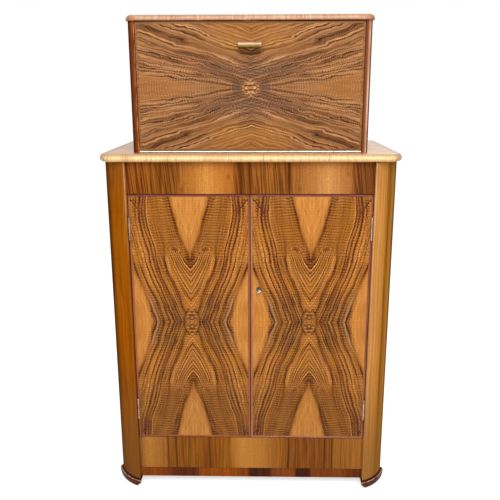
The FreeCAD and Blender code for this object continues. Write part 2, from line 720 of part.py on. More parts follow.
def upper_box():
    roof_half = f"({UPPER} + upper_top_side_overhang)"
    roof_y = (f"({UPPER_FACE} - upper_top_front_overhang)", f"({UPPER_BACK} + upper_top_back_overhang)")
    moulded_top("upper_top", roof_half, roof_y, (UPPER_UNDER, TOTAL),
                "upper_top_corner_round", "upper_top_upper_round", "upper_top_lower_round")
    for side in (-1, 1):
        name = f"upper_{side_name(side)}_side"
        node(name, box(name, span(side, UPPER_INSIDE, UPPER), (UPPER_FACE, UPPER_BACK),
                       ("cabinet_height", UPPER_UNDER)))
    across = even(UPPER_INSIDE)
    node("upper_floor", box("upper_floor", across, (f"({FLAP_BACK} + floor_gap)", UPPER_BACK),
                            ("cabinet_height", FLOOR_TOP)))
    back_half = f"({UPPER} - back_inset)"
    back = box("upper_back_panel", even(back_half), onward(UPPER_BACK, "back_thick"),
               ("(cabinet_height + back_gap)", f"({UPPER_UNDER} - back_gap)"))
    node("upper_back_panel", back)
    mirror_half = f"({UPPER_INSIDE} - mirror_gap)"
    node("mirror_plate", box("mirror_plate", even(mirror_half), (MIRROR_FACE, UPPER_BACK),
                             (FLOOR_TOP, f"({UPPER_UNDER} - mirror_gap)")))
    bead_y = (BEAD_FACE, MIRROR_FACE)
    bead_x = even(f"({UPPER_INSIDE} - bead_side)")
    beads = [
        box("bead_left", (across[0], bead_x[0]), bead_y, (FLOOR_TOP, UPPER_UNDER)),
        box("bead_right", (bead_x[1], across[1]), bead_y, (FLOOR_TOP, UPPER_UNDER)),
        box("bead_low", bead_x, bead_y, (FLOOR_TOP, f"({FLOOR_TOP} + bead_side)")),
        box("bead_high", bead_x, bead_y, (f"({UPPER_UNDER} - bead_side)", UPPER_UNDER)),
    ]
    node("mirror_beading", group("mirror_beading", beads))
    glass_half = f"({UPPER_INSIDE} - glass_gap)"
    glass_y = (f"({BEAD_FACE} - glass_back_gap - glass_depth)", f"({BEAD_FACE} - glass_back_gap)")
    node("glass_shelf", box("glass_shelf", even(glass_half), glass_y, onward(GLASS_LOW, "glass_thick")))
    pegs = []
    for side in (-1, 1):
        for where in (f"({glass_y[0]} + peg_inset)", f"({glass_y[1]} - peg_inset)"):
            pegs.append(rod(f"{side_name(side)}_peg", "x", (where, f"({GLASS_LOW} - peg_radius)"),
                            span(side, f"({UPPER_INSIDE} - peg_length)", UPPER_INSIDE), "peg_radius"))
    node("shelf_pegs", group("shelf_pegs", pegs))


def piano_leaf(name, knuckles, leaf_z):
    pitch = f"(2 * {FLAP_HALF} / {PIANO_KNUCKLES})"
    start = f"({PIANO_Y} + piano_radius + running_gap)"
    pieces = [box(f"{name}_plate", even(FLAP_HALF), (start, f"({PIANO_Y} + piano_leaf_reach)"), leaf_z)]
    for index in knuckles:
        ends = onward(f"({index} * {pitch} - {FLAP_HALF} + running_gap / 2)", f"({pitch} - running_gap)")
        pieces.append(box(f"{name}_tongue", ends, (PIANO_Y, start), leaf_z))
        pieces.append(rod(f"{name}_barrel", "x", (PIANO_Y, PIANO_Z), ends, "piano_radius"))
    bore = rod(f"{name}_bore", "x", (PIANO_Y, PIANO_Z), past(*even(FLAP_HALF)),
               "(piano_pin_radius + running_gap)")
    return node(name, cut(name, fuse(f"{name}_solid", pieces), [bore]))


def piano_hinge():
    piano_leaf("piano_hinge_fixed_leaf", range(0, PIANO_KNUCKLES, 2),
               onward("cabinet_height", "piano_leaf_thick"))
    piano_leaf("piano_hinge_flap_leaf", range(1, PIANO_KNUCKLES, 2),
               (f"({FLAP_LOW} - piano_leaf_thick)", FLAP_LOW))
    node("piano_hinge_pin",
         rod("piano_hinge_pin", "x", (PIANO_Y, PIANO_Z), even(FLAP_HALF), "piano_pin_radius"))


def flap():
    depth = (UPPER_FACE, FLAP_BACK)
    panel_x = even(f"({FLAP_HALF} - lipping)")
    panel_z = (f"({FLAP_LOW} + lipping)", f"({FLAP_HIGH} - lipping)")
    middle_y = f"({UPPER_FACE} + flap_thick / 2)"
    handle_z = f"({FLAP_HIGH} - handle_drop)"
    catch_z = (f"({FLAP_HIGH} - catch_length)", FLAP_HIGH)
    posts_x = ("(-handle_post_spacing / 2)", "(handle_post_spacing / 2)")
    screw_holes = [rod("screw_hole", "y", (x, handle_z), past(*depth), "screw_radius") for x in posts_x]
    panel_hole = rod("flap_catch_hole", "z", ("0", middle_y), catch_z, "catch_radius")
    board = box("flap_board", panel_x, depth, panel_z)
    node("flap_panel", cut("flap_panel", board, screw_holes + [panel_hole]))
    lip_hole = rod("lip_catch_hole", "z", ("0", middle_y), past(*catch_z), "catch_radius")
    lip_high = box("flap_lip_board", panel_x, depth, (panel_z[1], FLAP_HIGH))
    strips = [
        box("flap_lip_left", (f"(-{FLAP_HALF})", panel_x[0]), depth, (FLAP_LOW, FLAP_HIGH)),
        box("flap_lip_right", (panel_x[1], FLAP_HALF), depth, (FLAP_LOW, FLAP_HIGH)),
        box("flap_lip_low", panel_x, depth, (FLAP_LOW, panel_z[0])),
        cut("flap_lip_high", lip_high, [lip_hole]),
    ]
    node("flap_lipping", group("flap_lipping", strips))

    bar_y = f"({UPPER_FACE} - handle_gap - handle_radius)"
    bar_ends = about("0", "handle_length")
    collars = []
    for start in (bar_ends[0], f"({bar_ends[1]} - handle_collar_length)"):
        collars.append(rod("handle_collar", "x", (bar_y, handle_z), onward(start, "handle_collar_length"),
                           "handle_collar_radius"))
    bar = rod("handle_rod", "x", (bar_y, handle_z), bar_ends, "handle_radius")
    node("handle_bar", fuse("handle_bar", [bar] + collars))
    posts = []
    screws = []
    for name, x in zip(("left", "right"), posts_x):
        stem = rod(f"{name}_handle_stem", "y", (x, handle_z), (bar_y, UPPER_FACE), "handle_post_radius")
        seat = rod(f"{name}_handle_seat", "x", (bar_y, handle_z), bar_ends, "handle_radius")
        posts.append(cut(f"{name}_handle_post", stem, [seat]))
        shank = rod(f"{name}_screw_shank", "y", (x, handle_z), (UPPER_FACE, FLAP_BACK), "screw_radius")
        head = rod(f"{name}_screw_head", "y", (x, handle_z), onward(FLAP_BACK, "screw_head_thick"),
                   "screw_head_radius")
        screws.append(fuse(f"{name}_handle_screw", [shank, head]))
    node("handle_posts", group("handle_posts", posts))
    node("handle_screws", group("handle_screws", screws))

    barrel = rod("catch_tube", "z", ("0", middle_y), catch_z, "catch_radius")
    bore = rod("catch_bore", "z", ("0", middle_y), onward(f"({FLAP_HIGH} - catch_bore_depth)", "catch_length"),
               "(catch_ball_radius + running_gap)")
    node("catch_barrel", cut("catch_barrel", barrel, [bore]))
    ball = doc.addObject("Part::Sphere", "catch_ball")
    ball.setExpression("Radius", bound("catch_ball_radius"))
    node("catch_ball", place(ball, "0", middle_y, f"({FLAP_HIGH} + catch_ball_rise - catch_ball_radius)"))
    strike_z = (f"({UPPER_UNDER} - strike_thick)", UPPER_UNDER)
    plate = box("strike_plate", about("0", "strike_length"), about(middle_y, "strike_width"), strike_z)
    hole = rod("strike_hole", "z", ("0", middle_y), past(*strike_z), "strike_hole_radius")
    node("catch_strike", cut("catch_strike", plate, [hole]))


def stays():
    brackets = []
    pivots = []
    for side in (-1, 1):
        name = side_name(side)
        # the bar lies along its own Y from the flap pivot
        thick = about("0", "stay_thick")
        strip = box(f"{name}_stay_strip", thick, ("(-stay_end)", STAY_LENGTH), about("0", "stay_width"))
        stop = box(f"{name}_stay_stop", thick, (f"({STAY_LENGTH} - stay_stop_length)", STAY_LENGTH),
                   about("0", "stay_stop_width"))
        eye = rod(f"{name}_stay_eye", "x", ("0", "0"), past(*thick), "(stay_pin_radius + running_gap)")
        bar = cut(f"{name}_stay_bar", fuse(f"{name}_stay_solid", [strip, stop]), [eye])
        middle_x = f"({side} * {STAY_MIDDLE})"
        node(f"{name}_stay_bar", place(bar, middle_x, STAY_A_Y, STAY_A_Z, FreeCAD.Vector(1, 0, 0), STAY_TILT))

        # the guide: a block with a slot for the bar, turning on a stud in the side
        slot_thick = "(stay_thick + 2 * stay_slot_gap)"
        block_thick = f"({slot_thick} + 2 * guide_wall)"
        block = box(f"{name}_guide_block", about("0", block_thick), about("0", "guide_length"),
                    about("0", "guide_width"))
        slot = box(f"{name}_guide_slot", about("0", slot_thick), even("guide_length"),
                   about("0", "(stay_width + 2 * stay_slot_gap)"))
        bore = rod(f"{name}_guide_bore", "x", ("0", "0"), span(side, "0", block_thick),
                   "(guide_pivot_radius + running_gap)")
        guide = cut(f"{name}_stay_guide", block, [slot, bore])
        node(f"{name}_stay_guide",
             place(guide, middle_x, STAY_B_Y, STAY_B_Z, FreeCAD.Vector(1, 0, 0), STAY_TILT))
        pivots.append(rod(f"{name}_stay_pivot", "x", (STAY_B_Y, STAY_B_Z),
                          span(side, f"({STAY_OUTER} + stay_pin_end)", UPPER_INSIDE), "guide_pivot_radius"))

        # the bracket on the flap: a foot plate, a lug and the pin that carries the bar
        lug_x = (f"({STAY_INNER} - stay_lug_gap - stay_lug_thick)", f"({STAY_INNER} - stay_lug_gap)")
        plate_high = f"({STAY_OUTER} + stay_pin_end)"
        foot = box(f"{name}_bracket_foot", span(side, f"({plate_high} - stay_plate_width)", plate_high),
                   onward(FLAP_BACK, "stay_plate_thick"), about(STAY_A_Z, "stay_plate_length"))
        lug = box(f"{name}_bracket_lug", span(side, *lug_x), (FLAP_BACK, f"({STAY_A_Y} + stay_end)"),
                  about(STAY_A_Z, "(2 * stay_end)"))
        pin = rod(f"{name}_bracket_pin", "x", (STAY_A_Y, STAY_A_Z), span(side, lug_x[0], plate_high),
                  "stay_pin_radius")
        brackets.append(fuse(f"{name}_stay_bracket", [foot, lug, pin]))
    node("stay_brackets", group("stay_brackets", brackets))
    node("stay_pivots", group("stay_pivots", pivots))


def back_screws():
    screws = []
    panels = (
        (f"({BODY} - side_thick / 2)", f"({CARCASS_BACK} + back_thick)",
         PLINTH_TOP, f"({TOP_UNDER} - back_gap)"),
        (f"({UPPER} - upper_side_thick / 2)", f"({UPPER_BACK} + back_thick)",
         "(cabinet_height + back_gap)", f"({UPPER_UNDER} - back_gap)"),
    )
    for half, face, low, high in panels:
        first = f"({low} + back_screw_margin)"
        run = f"({high} - {low} - 2 * back_screw_margin)"
        for side in (-1, 1):
            for share in BACK_SCREW_SHARES:
                screws.append(rod("back_screw", "y", (f"({side} * {half})", f"({first} + {share} * {run})"),
                                  onward(face, "back_screw_thick"), "back_screw_radius"))
    node("back_screws", group("back_screws", screws))


def write_parts():
    doc.recompute()
    failed = [piece.Name for piece in doc.Objects if "Invalid" in piece.State or "Error" in piece.State]
    if failed:
        raise RuntimeError(f"failed objects: {failed}")
    for label, piece in nodes.items():
        if piece.Shape.isNull() or not piece.Shape.isValid() or not piece.Shape.Solids:
            raise RuntimeError(f"bad shape: {label}")
    os.makedirs("parts", exist_ok=True)
    for label, piece in nodes.items():
        piece.Shape.exportStep(f"parts/{label}.step")
    print(f"{len(nodes)} parts written")


fill_sheet()
lower_carcass()
corner_posts()
feet()
rails()
doors()
butt_hinges()
lock()
key()
slide_bolts()
upper_box()
piano_hinge()
flap()
stays()
back_screws()
write_parts()
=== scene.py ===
import bpy
import bmesh
import math
from functools import partialmethod
from mathutils import Matrix, Vector


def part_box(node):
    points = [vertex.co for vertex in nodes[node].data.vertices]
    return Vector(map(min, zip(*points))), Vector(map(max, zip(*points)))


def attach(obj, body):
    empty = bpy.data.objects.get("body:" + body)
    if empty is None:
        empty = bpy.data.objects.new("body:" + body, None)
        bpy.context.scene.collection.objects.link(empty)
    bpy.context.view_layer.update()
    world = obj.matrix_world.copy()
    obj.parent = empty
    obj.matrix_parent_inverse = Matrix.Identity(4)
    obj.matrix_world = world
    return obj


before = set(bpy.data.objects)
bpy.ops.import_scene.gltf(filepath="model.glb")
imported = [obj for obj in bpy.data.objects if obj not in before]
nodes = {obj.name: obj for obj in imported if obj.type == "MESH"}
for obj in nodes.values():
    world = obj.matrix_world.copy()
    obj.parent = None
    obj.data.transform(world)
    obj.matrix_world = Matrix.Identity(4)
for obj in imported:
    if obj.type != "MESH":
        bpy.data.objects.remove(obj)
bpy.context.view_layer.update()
print("cabinet loaded:", len(nodes), "parts")


def addObject(name, data):
    made = bpy.data.objects.new(name, data)
    bpy.context.scene.collection.objects.link(made)
    return made


def addMesh(name, shape, *looks):
    mesh = bpy.data.meshes.new(name)
    shape.to_mesh(mesh)
    shape.free()
    for look in looks:
        mesh.materials.append(look)
    return addObject(name, mesh)


# the photograph's view

camera = {"place": (0.0347, -1.8088, 1.1239), "down": 14.42, "left": 1.25, "tilt": -0.17, "lens": 45.26}


def setCamera(want):
    data = bpy.data.cameras.new("camera")
    data.lens = want["lens"]
    data.sensor_width = 36.0
    eye = addObject("camera", data)
    turn = Matrix.Rotation(math.radians(want["left"]), 4, "Z")
    turn = turn @ Matrix.Rotation(math.radians(90.0 - want["down"]), 4, "X")
    turn = turn @ Matrix.Rotation(math.radians(want["tilt"]), 4, "Z")
    eye.matrix_world = Matrix.Translation(want["place"]) @ turn
    bpy.context.scene.camera = eye


setCamera(camera)
bpy.context.scene.view_settings.view_transform = "Standard"
print("camera set")


# shader sums and nodes

def tint(red, green, blue):
    # colour as a painter reads it, 0 to 255, to the linear values that the nodes use
    parts = [level / 255.0 for level in (red, green, blue)]
    return tuple(p / 12.92 if p < 0.04045 else ((p + 0.055) / 1.055) ** 2.4 for p in parts) + (1.0,)


class Sock:
    def __init__(self, graph, socket):
        self.graph = graph
        self.socket = socket

    def calc(self, kind, *others):
        return self.graph.node("Math", {"operation": kind}, dict(enumerate((self,) + others)))

    def __rsub__(self, other):
        return self.graph.node("Math", {"operation": "SUBTRACT"}, {0: other, 1: self})

    __add__ = __radd__ = partialmethod(calc, "ADD")
    __sub__ = partialmethod(calc, "SUBTRACT")
    __mul__ = __rmul__ = partialmethod(calc, "MULTIPLY")
    __truediv__ = partialmethod(calc, "DIVIDE")
    __pow__ = partialmethod(calc, "POWER")
    __abs__ = partialmethod(calc, "ABSOLUTE")
    least = partialmethod(calc, "MINIMUM")
    most = partialmethod(calc, "MAXIMUM")
    over = partialmethod(calc, "GREATER_THAN")
    root = partialmethod(calc, "SQRT")
    wave = partialmethod(calc, "SINE")

    def rise(self, low, high):
        # a soft step from 0 to 1
        return self.graph.node(
            "MapRange", {"interpolation_type": "SMOOTHSTEP"},
            {"Value": self, "From Min": low, "From Max": high})

    def fall(self, low, high):
        # and from 1 to 0
        return 1.0 - self.rise(low, high)

    def near(self, place, width):
        # 1 at the place, 0 from the width on
        return abs(self - place).fall(0.0, width)


class Graph:
    def __init__(self, tree, end):
        self.tree = tree
        self.tree.nodes.clear()
        self.end = self.tree.nodes.new("ShaderNodeOutput" + end)

    def close(self, shader):
        self.tree.links.new(shader.socket, self.end.inputs[0])

    def node(self, kind, settings, sockets, out=0):
        made = self.tree.nodes.new("ShaderNode" + kind)
        for key, value in settings.items():
            if key == "stops":
                self.fillRamp(made.color_ramp, value)
            elif key == "curve":
                self.fillCurve(made.mapping, value)
            else:
                setattr(made, key, value)
        self.fill(made, sockets)
        return Sock(self, made.outputs[out])

    def fill(self, made, sockets):
        for key, value in sockets.items():
            if isinstance(value, Sock):
                self.tree.links.new(value.socket, made.inputs[key])
            else:
                made.inputs[key].default_value = value

    def fillRamp(self, ramp, stops):
        # a stop is a place and a colour: a painter's three levels or four linear ones
        while len(ramp.elements) < len(stops):
            ramp.elements.new(1.0)
        for element, stop in zip(ramp.elements, stops):
            element.position = stop[0]
        for element, (_, *colour) in zip(ramp.elements, stops):
            element.color = colour if len(colour) == 4 else tint(*colour)

    def fillCurve(self, mapping, places):
        line = mapping.curves[0]
        while len(line.points) < len(places):
            line.points.new(0.5, 0.5)
        for point, place in zip(line.points, places):
            point.location = place
        mapping.update()


class Finish(Graph):
    def __init__(self, name):
        self.material = bpy.data.materials.new(name)
        self.material.use_nodes = True
        super().__init__(self.material.node_tree, "Material")
        self.surface = self.node("BsdfPrincipled", {}, {})
        self.close(self.surface)

    def place(self):
        # where a point is, in mm
        where = self.node("TexCoord", {}, {}, 3)
        self.spot = [self.node("SeparateXYZ", {}, {0: where}, axis) * 1000.0 for axis in range(3)]
        return self.spot

    def noise(self, x, y, z=0.0, detail=2.0, rough=0.5, out=0):
        spot = self.node("CombineXYZ", {}, {0: x, 1: y, 2: z})
        return self.node("TexNoise", {}, {
            "Vector": spot, "Scale": 1.0, "Detail": detail, "Roughness": rough}, out)

    def cloud(self, size, detail, rough=0.5):
        # noise of a size in mm all ways
        x, y, z = self.spot
        return self.noise(x / size, y / size, z / size, detail, rough)

    def patch(self, across, along, size, seed, detail=2.0, rough=0.5):
        # noise of a size in mm, across and along
        return self.noise(across / size[0], along / size[1], seed, detail, rough)

    def shifts(self, across, along, size, seed, rough=0.5):
        # three such noises at once, each centred on 0
        colour = self.noise(across / size[0], along / size[1], seed, 2.0, rough, 1)
        return [self.node("SeparateColor", {}, {0: colour}, part) - 0.5 for part in range(3)]

    def ramp(self, value, stops):
        return self.node("ValToRGB", {"stops": stops}, {0: value})

    def tones(self, value, stops):
        # a drawn row of light and dark, 0 dark to 1 light
        return self.ramp(value, [(place, level, level, level, 1.0) for place, level in stops])

    def curve(self, value, points, reach, low, high):
        # a line drawn through the given points
        scaled = [(x / reach, (y - low) / (high - low)) for x, y in points]
        drawn = self.node("FloatCurve", {"curve": scaled}, {"Value": value / reach})
        return drawn * (high - low) + low

    def blend(self, first, second, share):
        return self.node("Mix", {"data_type": "FLOAT"}, {0: share, 2: first, 3: second})

    def mix(self, first, second, share, how="MIX"):
        first, second = [
            part if isinstance(part, Sock) or len(part) == 4 else tint(*part) for part in (first, second)]
        return self.node("Mix", {"data_type": "RGBA", "blend_type": how}, {0: share, 6: first, 7: second}, 2)

    def bump(self, height, strength, depth):
        return self.node("Bump", {}, {"Strength": strength, "Distance": depth, "Height": height})

    def set(self, **sockets):
        # names as the shader gives them, with _ for a space
        self.fill(self.surface.socket.node, {key.replace("_", " "): value for key, value in sockets.items()})
        return self.material


# walnut, shared parts of every wood

polish = {
    "gloss": 0.06, "rough": 0.36, "poreDepth": 0.00012, "relief": 0.35, "bump": 0.35,
    "cloudSize": 60, "scuffSize": 3, "uneven": {"cloud": 0.14, "scuffs": 0.08, "pores": 0.16}}


def polished(f, colour, tone, pores, **own):
    # an old shellac polish: pores a little open, gloss a little uneven
    want = {**polish, **own}
    uneven = want["uneven"]
    cloud = f.cloud(want["cloudSize"], 3)
    scuffs = f.cloud(want["scuffSize"], 4, 0.7)
    level = want["rough"] + (cloud - 0.5) * uneven["cloud"] + (scuffs - 0.5) * uneven["scuffs"]
    return f.set(
        Base_Color=colour, Roughness=level + pores * uneven["pores"], Specular_IOR_Level=want["gloss"],
        Normal=f.bump(tone * want["relief"] - pores, want["bump"], want["poreDepth"]))


# sizes of a board's grain in mm, across and along
grainSizes = {"sway": (140, 420), "bandLength": 1600, "lines": (1.9, 130), "pores": (0.625, 9)}


def grain(f, across, along, seed, pitch, bend):
    # growth bands, fine lines and pores along a board
    sway = f.patch(across, along, grainSizes["sway"], seed)
    run = across + (sway - 0.5) * bend
    bands = f.patch(run, along, (pitch, grainSizes["bandLength"]), seed + 3, 4, 0.6)
    lines = f.patch(run, along, grainSizes["lines"], seed + 7, 3, 0.6)
    pores = f.patch(run, along, grainSizes["pores"], seed + 11, 1).rise(0.60, 0.72)
    return run, bands, lines, pores


def veins(f, run, along, size, seed, width):
    # thin dark lines at uneven distances
    level = f.patch(run, along, size, seed, 2, 0.55)
    return abs(level - 0.5).near(0, width)


walnutTones = [
    (0, 52, 20, 6), (0.14, 86, 41, 11), (0.28, 118, 65, 21), (0.43, 150, 91, 34),
    (0.58, 176, 111, 47), (0.73, 199, 129, 58), (0.88, 216, 146, 74), (1, 234, 180, 122)]


def innerFace(f, colour, across, along, seed, face):
    # plain straight walnut on the inner face of a door or flap
    bands, lines, pores = grain(f, across, along, seed + 50, 14, 40)[1:]
    tone = 0.46 + (bands - 0.5) * 0.9 + (lines - 0.5) * 0.5 - pores * 0.14
    return f.mix(colour, f.ramp(tone, walnutTones), f.spot[1].rise(face - 4, face - 2))


# the figured doors: four leaves opened round a middle

doorLeaf = {
    "middleHeight": 506, "innerFace": -177,
    # half widths at a height, in mm: pale sapwood, the dark bundle, the side
    "tall": {"reach": 400, "low": -60, "high": 200}, "sideTall": {"reach": 400, "low": 0, "high": 200},
    "sapEdge": [
        (0, -60), (150, -24), (186, 0), (200, 6), (214, 12), (236, 20), (258, 27), (298, 37), (351, 51), (400, 64)],
    "bundle": [
        (0, 42), (30, 53), (60, 63), (106, 80), (155, 97), (207, 110), (254, 120), (301, 127), (350, 122),
        (400, 119)],
    "sideEdge": [
        (0, 105), (27, 111), (60, 117), (93, 126), (126, 141), (154, 155), (185, 172), (230, 195), (400, 199)],
    # heights at a half width: the top of the shield, the climb of its lines
    "wide": {"reach": 200, "low": 0, "high": 400},
    "shieldTop": [
        (0, 169), (10, 177), (22, 192), (37, 207), (48, 207), (54, 202), (61, 190), (66, 174), (80, 130), (200, 60)],
    "veeRise": [
        (0, 0), (8, 11), (15, 22), (22, 35), (29, 50), (36, 67), (43, 87), (50, 110), (57, 137), (64, 166), (71, 205),
        (80, 262), (200, 390)],
    # light and dark across the arms, from the side edge to the sapwood
    "armLow": -56, "armSpan": 164,
    "armTones": [
        (-56, 0.50), (-53, 0.14), (-49, 0.58), (-45, 0.38), (-38, 0.54), (-32, 0.24), (-27, 0.60), (-21, 0.66),
        (-16, 0.12), (-11, 0.70), (-5, 0.02), (0, 0.70), (4, 0.04), (8, 0.72), (13, 0.16), (17, 0.58), (25, 0.52),
        (33, 0.42), (42, 0.48), (52, 0.45), (62, 0.50), (76, 0.48), (88, 0.42), (98, 0.36), (108, 0.36)],
    # nested lines of the shield: height on the middle line and depth
    "shieldSpan": 176, "shieldWidth": 4.6, "shieldGround": (0.70, 0.58), "shieldSide": 37.5,
    "shieldLines": [
        (22, 0.20), (42, 0.22), (62, 0.26), (80, 0.42), (97, 0.28), (113, 0.36), (127, 0.54), (139, 0.40),
        (151, 0.44), (163, 0.34)],
    # knots at the shield's shoulders, and the lines out of each corner: distance, width, strength
    "knot": (40, 205), "corner": (126, 303), "cornerRun": (0.59, 0.81),
    "cornerLines": [(0, 3.2, 1), (8, 2.4, 0.35), (-6.5, 2.4, 0.35)],
    # sizes of the markings in mm, across and along
    "sizes": {
        "drift": (120, 120), "wander": (50, 90), "ruffle": (6, 14), "bend": (22, 30),
        "swirl": (22, 28), "lines": (2, 160), "broad": (3.6, 260), "pores": (0.7142857, 10),
        "breaks": (12, 70), "veins": (7, 300), "fire": (40, 50), "curl": (7, 5),
        "sapGrain": (4.6, 60), "arrow": (9, 70), "gold": (45, 60), "grey": (38, 48), "rust": (30, 55)},
    "tints": {
        "knot": (104, 44, 30), "gold": (172, 106, 16), "grey": (130, 92, 54), "rose": (176, 96, 66),
        "waist": (104, 78, 50), "pale": (204, 160, 124), "lowerTint": (124, 88, 54), "nail": (48, 26, 12)}}


def shieldRow(leaf):
    # light and dark up the shield: a thin dark line at each place
    span, wide = leaf["shieldSpan"], leaf["shieldWidth"]
    low, high = leaf["shieldGround"]
    row = [(0, 0.42)]
    for place, depth in leaf["shieldLines"]:
        ground = low + (high - low) * place / span
        row += [((place - wide) / span, ground), (place / span, ground - depth), ((place + wide) / span, ground)]
    return row + [(1, 0.46)]


def doorFigure(name, middle, seed, nail=None):
    f = Finish(name)
    x, _, z = f.place()
    leaf, size, tints = doorLeaf, doorLeaf["sizes"], doorLeaf["tints"]
    # the four leaves are alike but never quite the same
    drift = f.shifts(x, z, size["drift"], seed)
    side = x - middle + drift[0] * 9
    high = z - leaf["middleHeight"] + drift[1] * 9
    out = abs(side)
    up = abs(high)
    below = (0 - high).over(0)
    # the leaf's own wander, mirrored with it
    wander = f.shifts(out, up, size["wander"], 2)
    ruffle = f.shifts(out, up, size["ruffle"], 5)
    # crossfire: bands of ripple across the run, which jog every line
    bend = f.patch(out, up, size["bend"], 1.5, 3, 0.6)
    ripple = (up * 0.86 + bend * 8 + out * 0.05 + ruffle[2] * 4).wave()
    a = out + wander[0] * 9 + ruffle[0] * 4 + ripple * 0.7
    b = up + wander[1] * 10 + ruffle[1] * 4
    sapEdge = f.curve(b, leaf["sapEdge"], **leaf["tall"])
    bundle = f.curve(b, leaf["bundle"], **leaf["tall"])
    inward = bundle - a + below * (b - 250).most(0) * 0.16
    # above the shield the lines fan out between the bundle and the sapwood
    fan = f.blend(inward, inward * 95 / (bundle - sapEdge), b.rise(186, 222) * inward.over(0))
    shieldTop = f.curve(a, leaf["shieldTop"], **leaf["wide"])
    vee = b - f.curve(a, leaf["veeRise"], **leaf["wide"])
    isShield = (inward - leaf["shieldSide"]).rise(-1, 1) * (shieldTop - b).rise(-2.5, 2.5) * b.rise(31, 36)
    isArm = 1 - isShield
    isSap = (sapEdge - a).rise(-4, 4)
    fromSide = a - f.curve(b, leaf["sideEdge"], **leaf["sideTall"])
    isSide = fromSide.rise(-2, 3)
    plain = isSap.most(isSide)
    isEar = (-10 - inward).rise(0, 8) * b.rise(150, 190)
    isCrown = inward.rise(10, 30) * b.rise(176, 190)
    # light and dark of each field
    first, span = leaf["armLow"], leaf["armSpan"]
    armTones = [((place - first) / span, level) for place, level in leaf["armTones"]]
    tone = f.tones((fan - first) / span, armTones)
    swirl = (f.patch(a, b, size["swirl"], 4) * 46).wave()
    tone = f.blend(tone, 0.62 + swirl * 0.11, isEar * 0.8)
    nested = f.tones(vee / leaf["shieldSpan"], shieldRow(leaf)) + ((vee + bend * 6) * 0.52).wave() * 0.09
    tone = f.blend(tone, nested, isShield)
    # lines follow each field's own run: some that show across a room, some only close to
    run = f.blend(fan, 300 + vee * 0.7, isShield.over(0.5))
    lines = f.patch(run, b, size["lines"], 14, 3, 0.6)
    broad = f.patch(run, b, size["broad"], 19)
    pores = f.patch(run, b, size["pores"], 16, 1).rise(0.60, 0.70)
    breaks = f.patch(run, b, size["breaks"], 24).rise(0.36, 0.62)
    fine = veins(f, run, b, size["veins"], 44, 0.14) * (0.4 + breaks * 0.6)
    tone = tone + 0.10 + (lines - 0.5) * 0.34 + (broad - 0.5) * (1 - isCrown * 0.62)
    waist = b.fall(50, 105)
    tone = tone - fine * (0.36 - isCrown * 0.22 + waist * 0.16) - isCrown * 0.07 + waist * 0.05
    # close, even threads between the lines
    threads = ((run + bend * 7 + ruffle[2] * 3 + (broad - 0.5) * 5) * 1.02).wave()
    tone = tone + threads * (0.05 + breaks * 0.10 + waist * 0.05) * isArm * (1 - isCrown * 0.55)
    # dark lines down both sides of the sapwood
    beside = a - sapEdge
    tone = tone - (beside.near(5, 4.5) * 0.20 + beside.near(15, 3.5) * 0.14) * b.rise(205, 235) * isArm
    # the dark side of the shield, and the dark wedge by the waist
    flank = (inward - 35.5 + wander[2] * 9).near(0, 5) * b.fall(172, 192)
    tone = tone - flank * b.rise(16, 44) * (0.26 + breaks * 0.20 + b.near(162, 30) * 0.22)
    wedge = inward.near(-40, 9) * waist
    tone = tone - wedge * (0.10 + breaks * 0.12) - waist * isArm * 0.04 - below * b.rise(170, 230) * 0.07
    # ripple is strongest in the crown
    fire = f.patch(a, b, size["fire"], 8).rise(0.26, 0.60)
    low = isShield * vee.fall(40, 90)
    tone = tone + ripple * (0.026 + fire * (0.085 + isCrown * 0.04) + low * 0.05) * (1 - isShield * 0.3)
    # the dark lines out of each corner
    (cornerSide, cornerHigh), (sideways, upwards) = leaf["corner"], leaf["cornerRun"]
    along = (a - cornerSide) * sideways + (b - cornerHigh) * upwards
    across = (a - cornerSide) * upwards - (b - cornerHigh) * sideways
    edge = sum(across.near(place, width) * strength for place, width, strength in leaf["cornerLines"])
    tone = tone - edge * along.rise(-6, 8) * isArm * 0.50
    # knots at the shoulders of the shield
    knotSide, knotHigh = leaf["knot"]
    knotAway = (((a - knotSide - (b - knotHigh) * 0.4) / 1.5) ** 2 + (b - knotHigh) ** 2).root()
    knot = knotAway.near(0, 5) * (1 - below * 0.45)
    tone = tone - knot * 0.46 + ((knotAway * 0.95).wave() * 0.14) * knotAway.near(6, 15) * (1 - below * 0.6)
    # the small eye in the middle
    curl = f.patch(a, b, size["curl"], 12)
    inEye = a.fall(12, 17) * b.fall(27, 33)
    ring = ((a * a + (b - 2) ** 2).root() * 0.9).wave()
    tone = f.blend(tone, 0.42 + (b * 0.58).wave() * 0.17 + ring * 0.14 + (curl - 0.5) * 1.7, inEye)
    stroke = (a - 21 + b * b * 0.011).near(0, 5.5) * b.fall(34, 44)
    tone = tone - stroke * (0.20 + breaks * 0.34) - b.near(31, 5) * a.fall(9, 16) * breaks * 0.20
    # plain sapwood with a faint run of its own
    sapGrain = f.patch(a, b, size["sapGrain"], 12, 3, 0.6)
    arrow = f.patch(b - a * 2.4, a, size["arrow"], 13)
    sapTone = 0.74 + (sapGrain - 0.5) * 0.66 + (arrow - 0.5) * 0.44 + ripple * 0.018
    sapTone = sapTone - isSap * b.fall(185, 265) * 0.12 - (sapEdge - a).near(0, 9) * isSap * 0.14
    sapTone = sapTone - fromSide.near(0, 11) * isSide * 0.20
    tone = f.blend(tone, sapTone, plain)
    colour = f.ramp(tone, walnutTones)
    colour = f.mix(colour, tints["knot"], knot * 0.6)
    # patches of gold and of grey in the figure
    gold = f.patch(x, z, size["gold"], seed + 27).rise(0.48, 0.70) * (1 - plain)
    grey = f.patch(x, z, size["grey"], seed + 33).rise(0.50, 0.74) * (1 - plain)
    colour = f.mix(colour, tints["gold"], gold * 0.26)
    colour = f.mix(colour, tints["grey"], grey * 0.26)
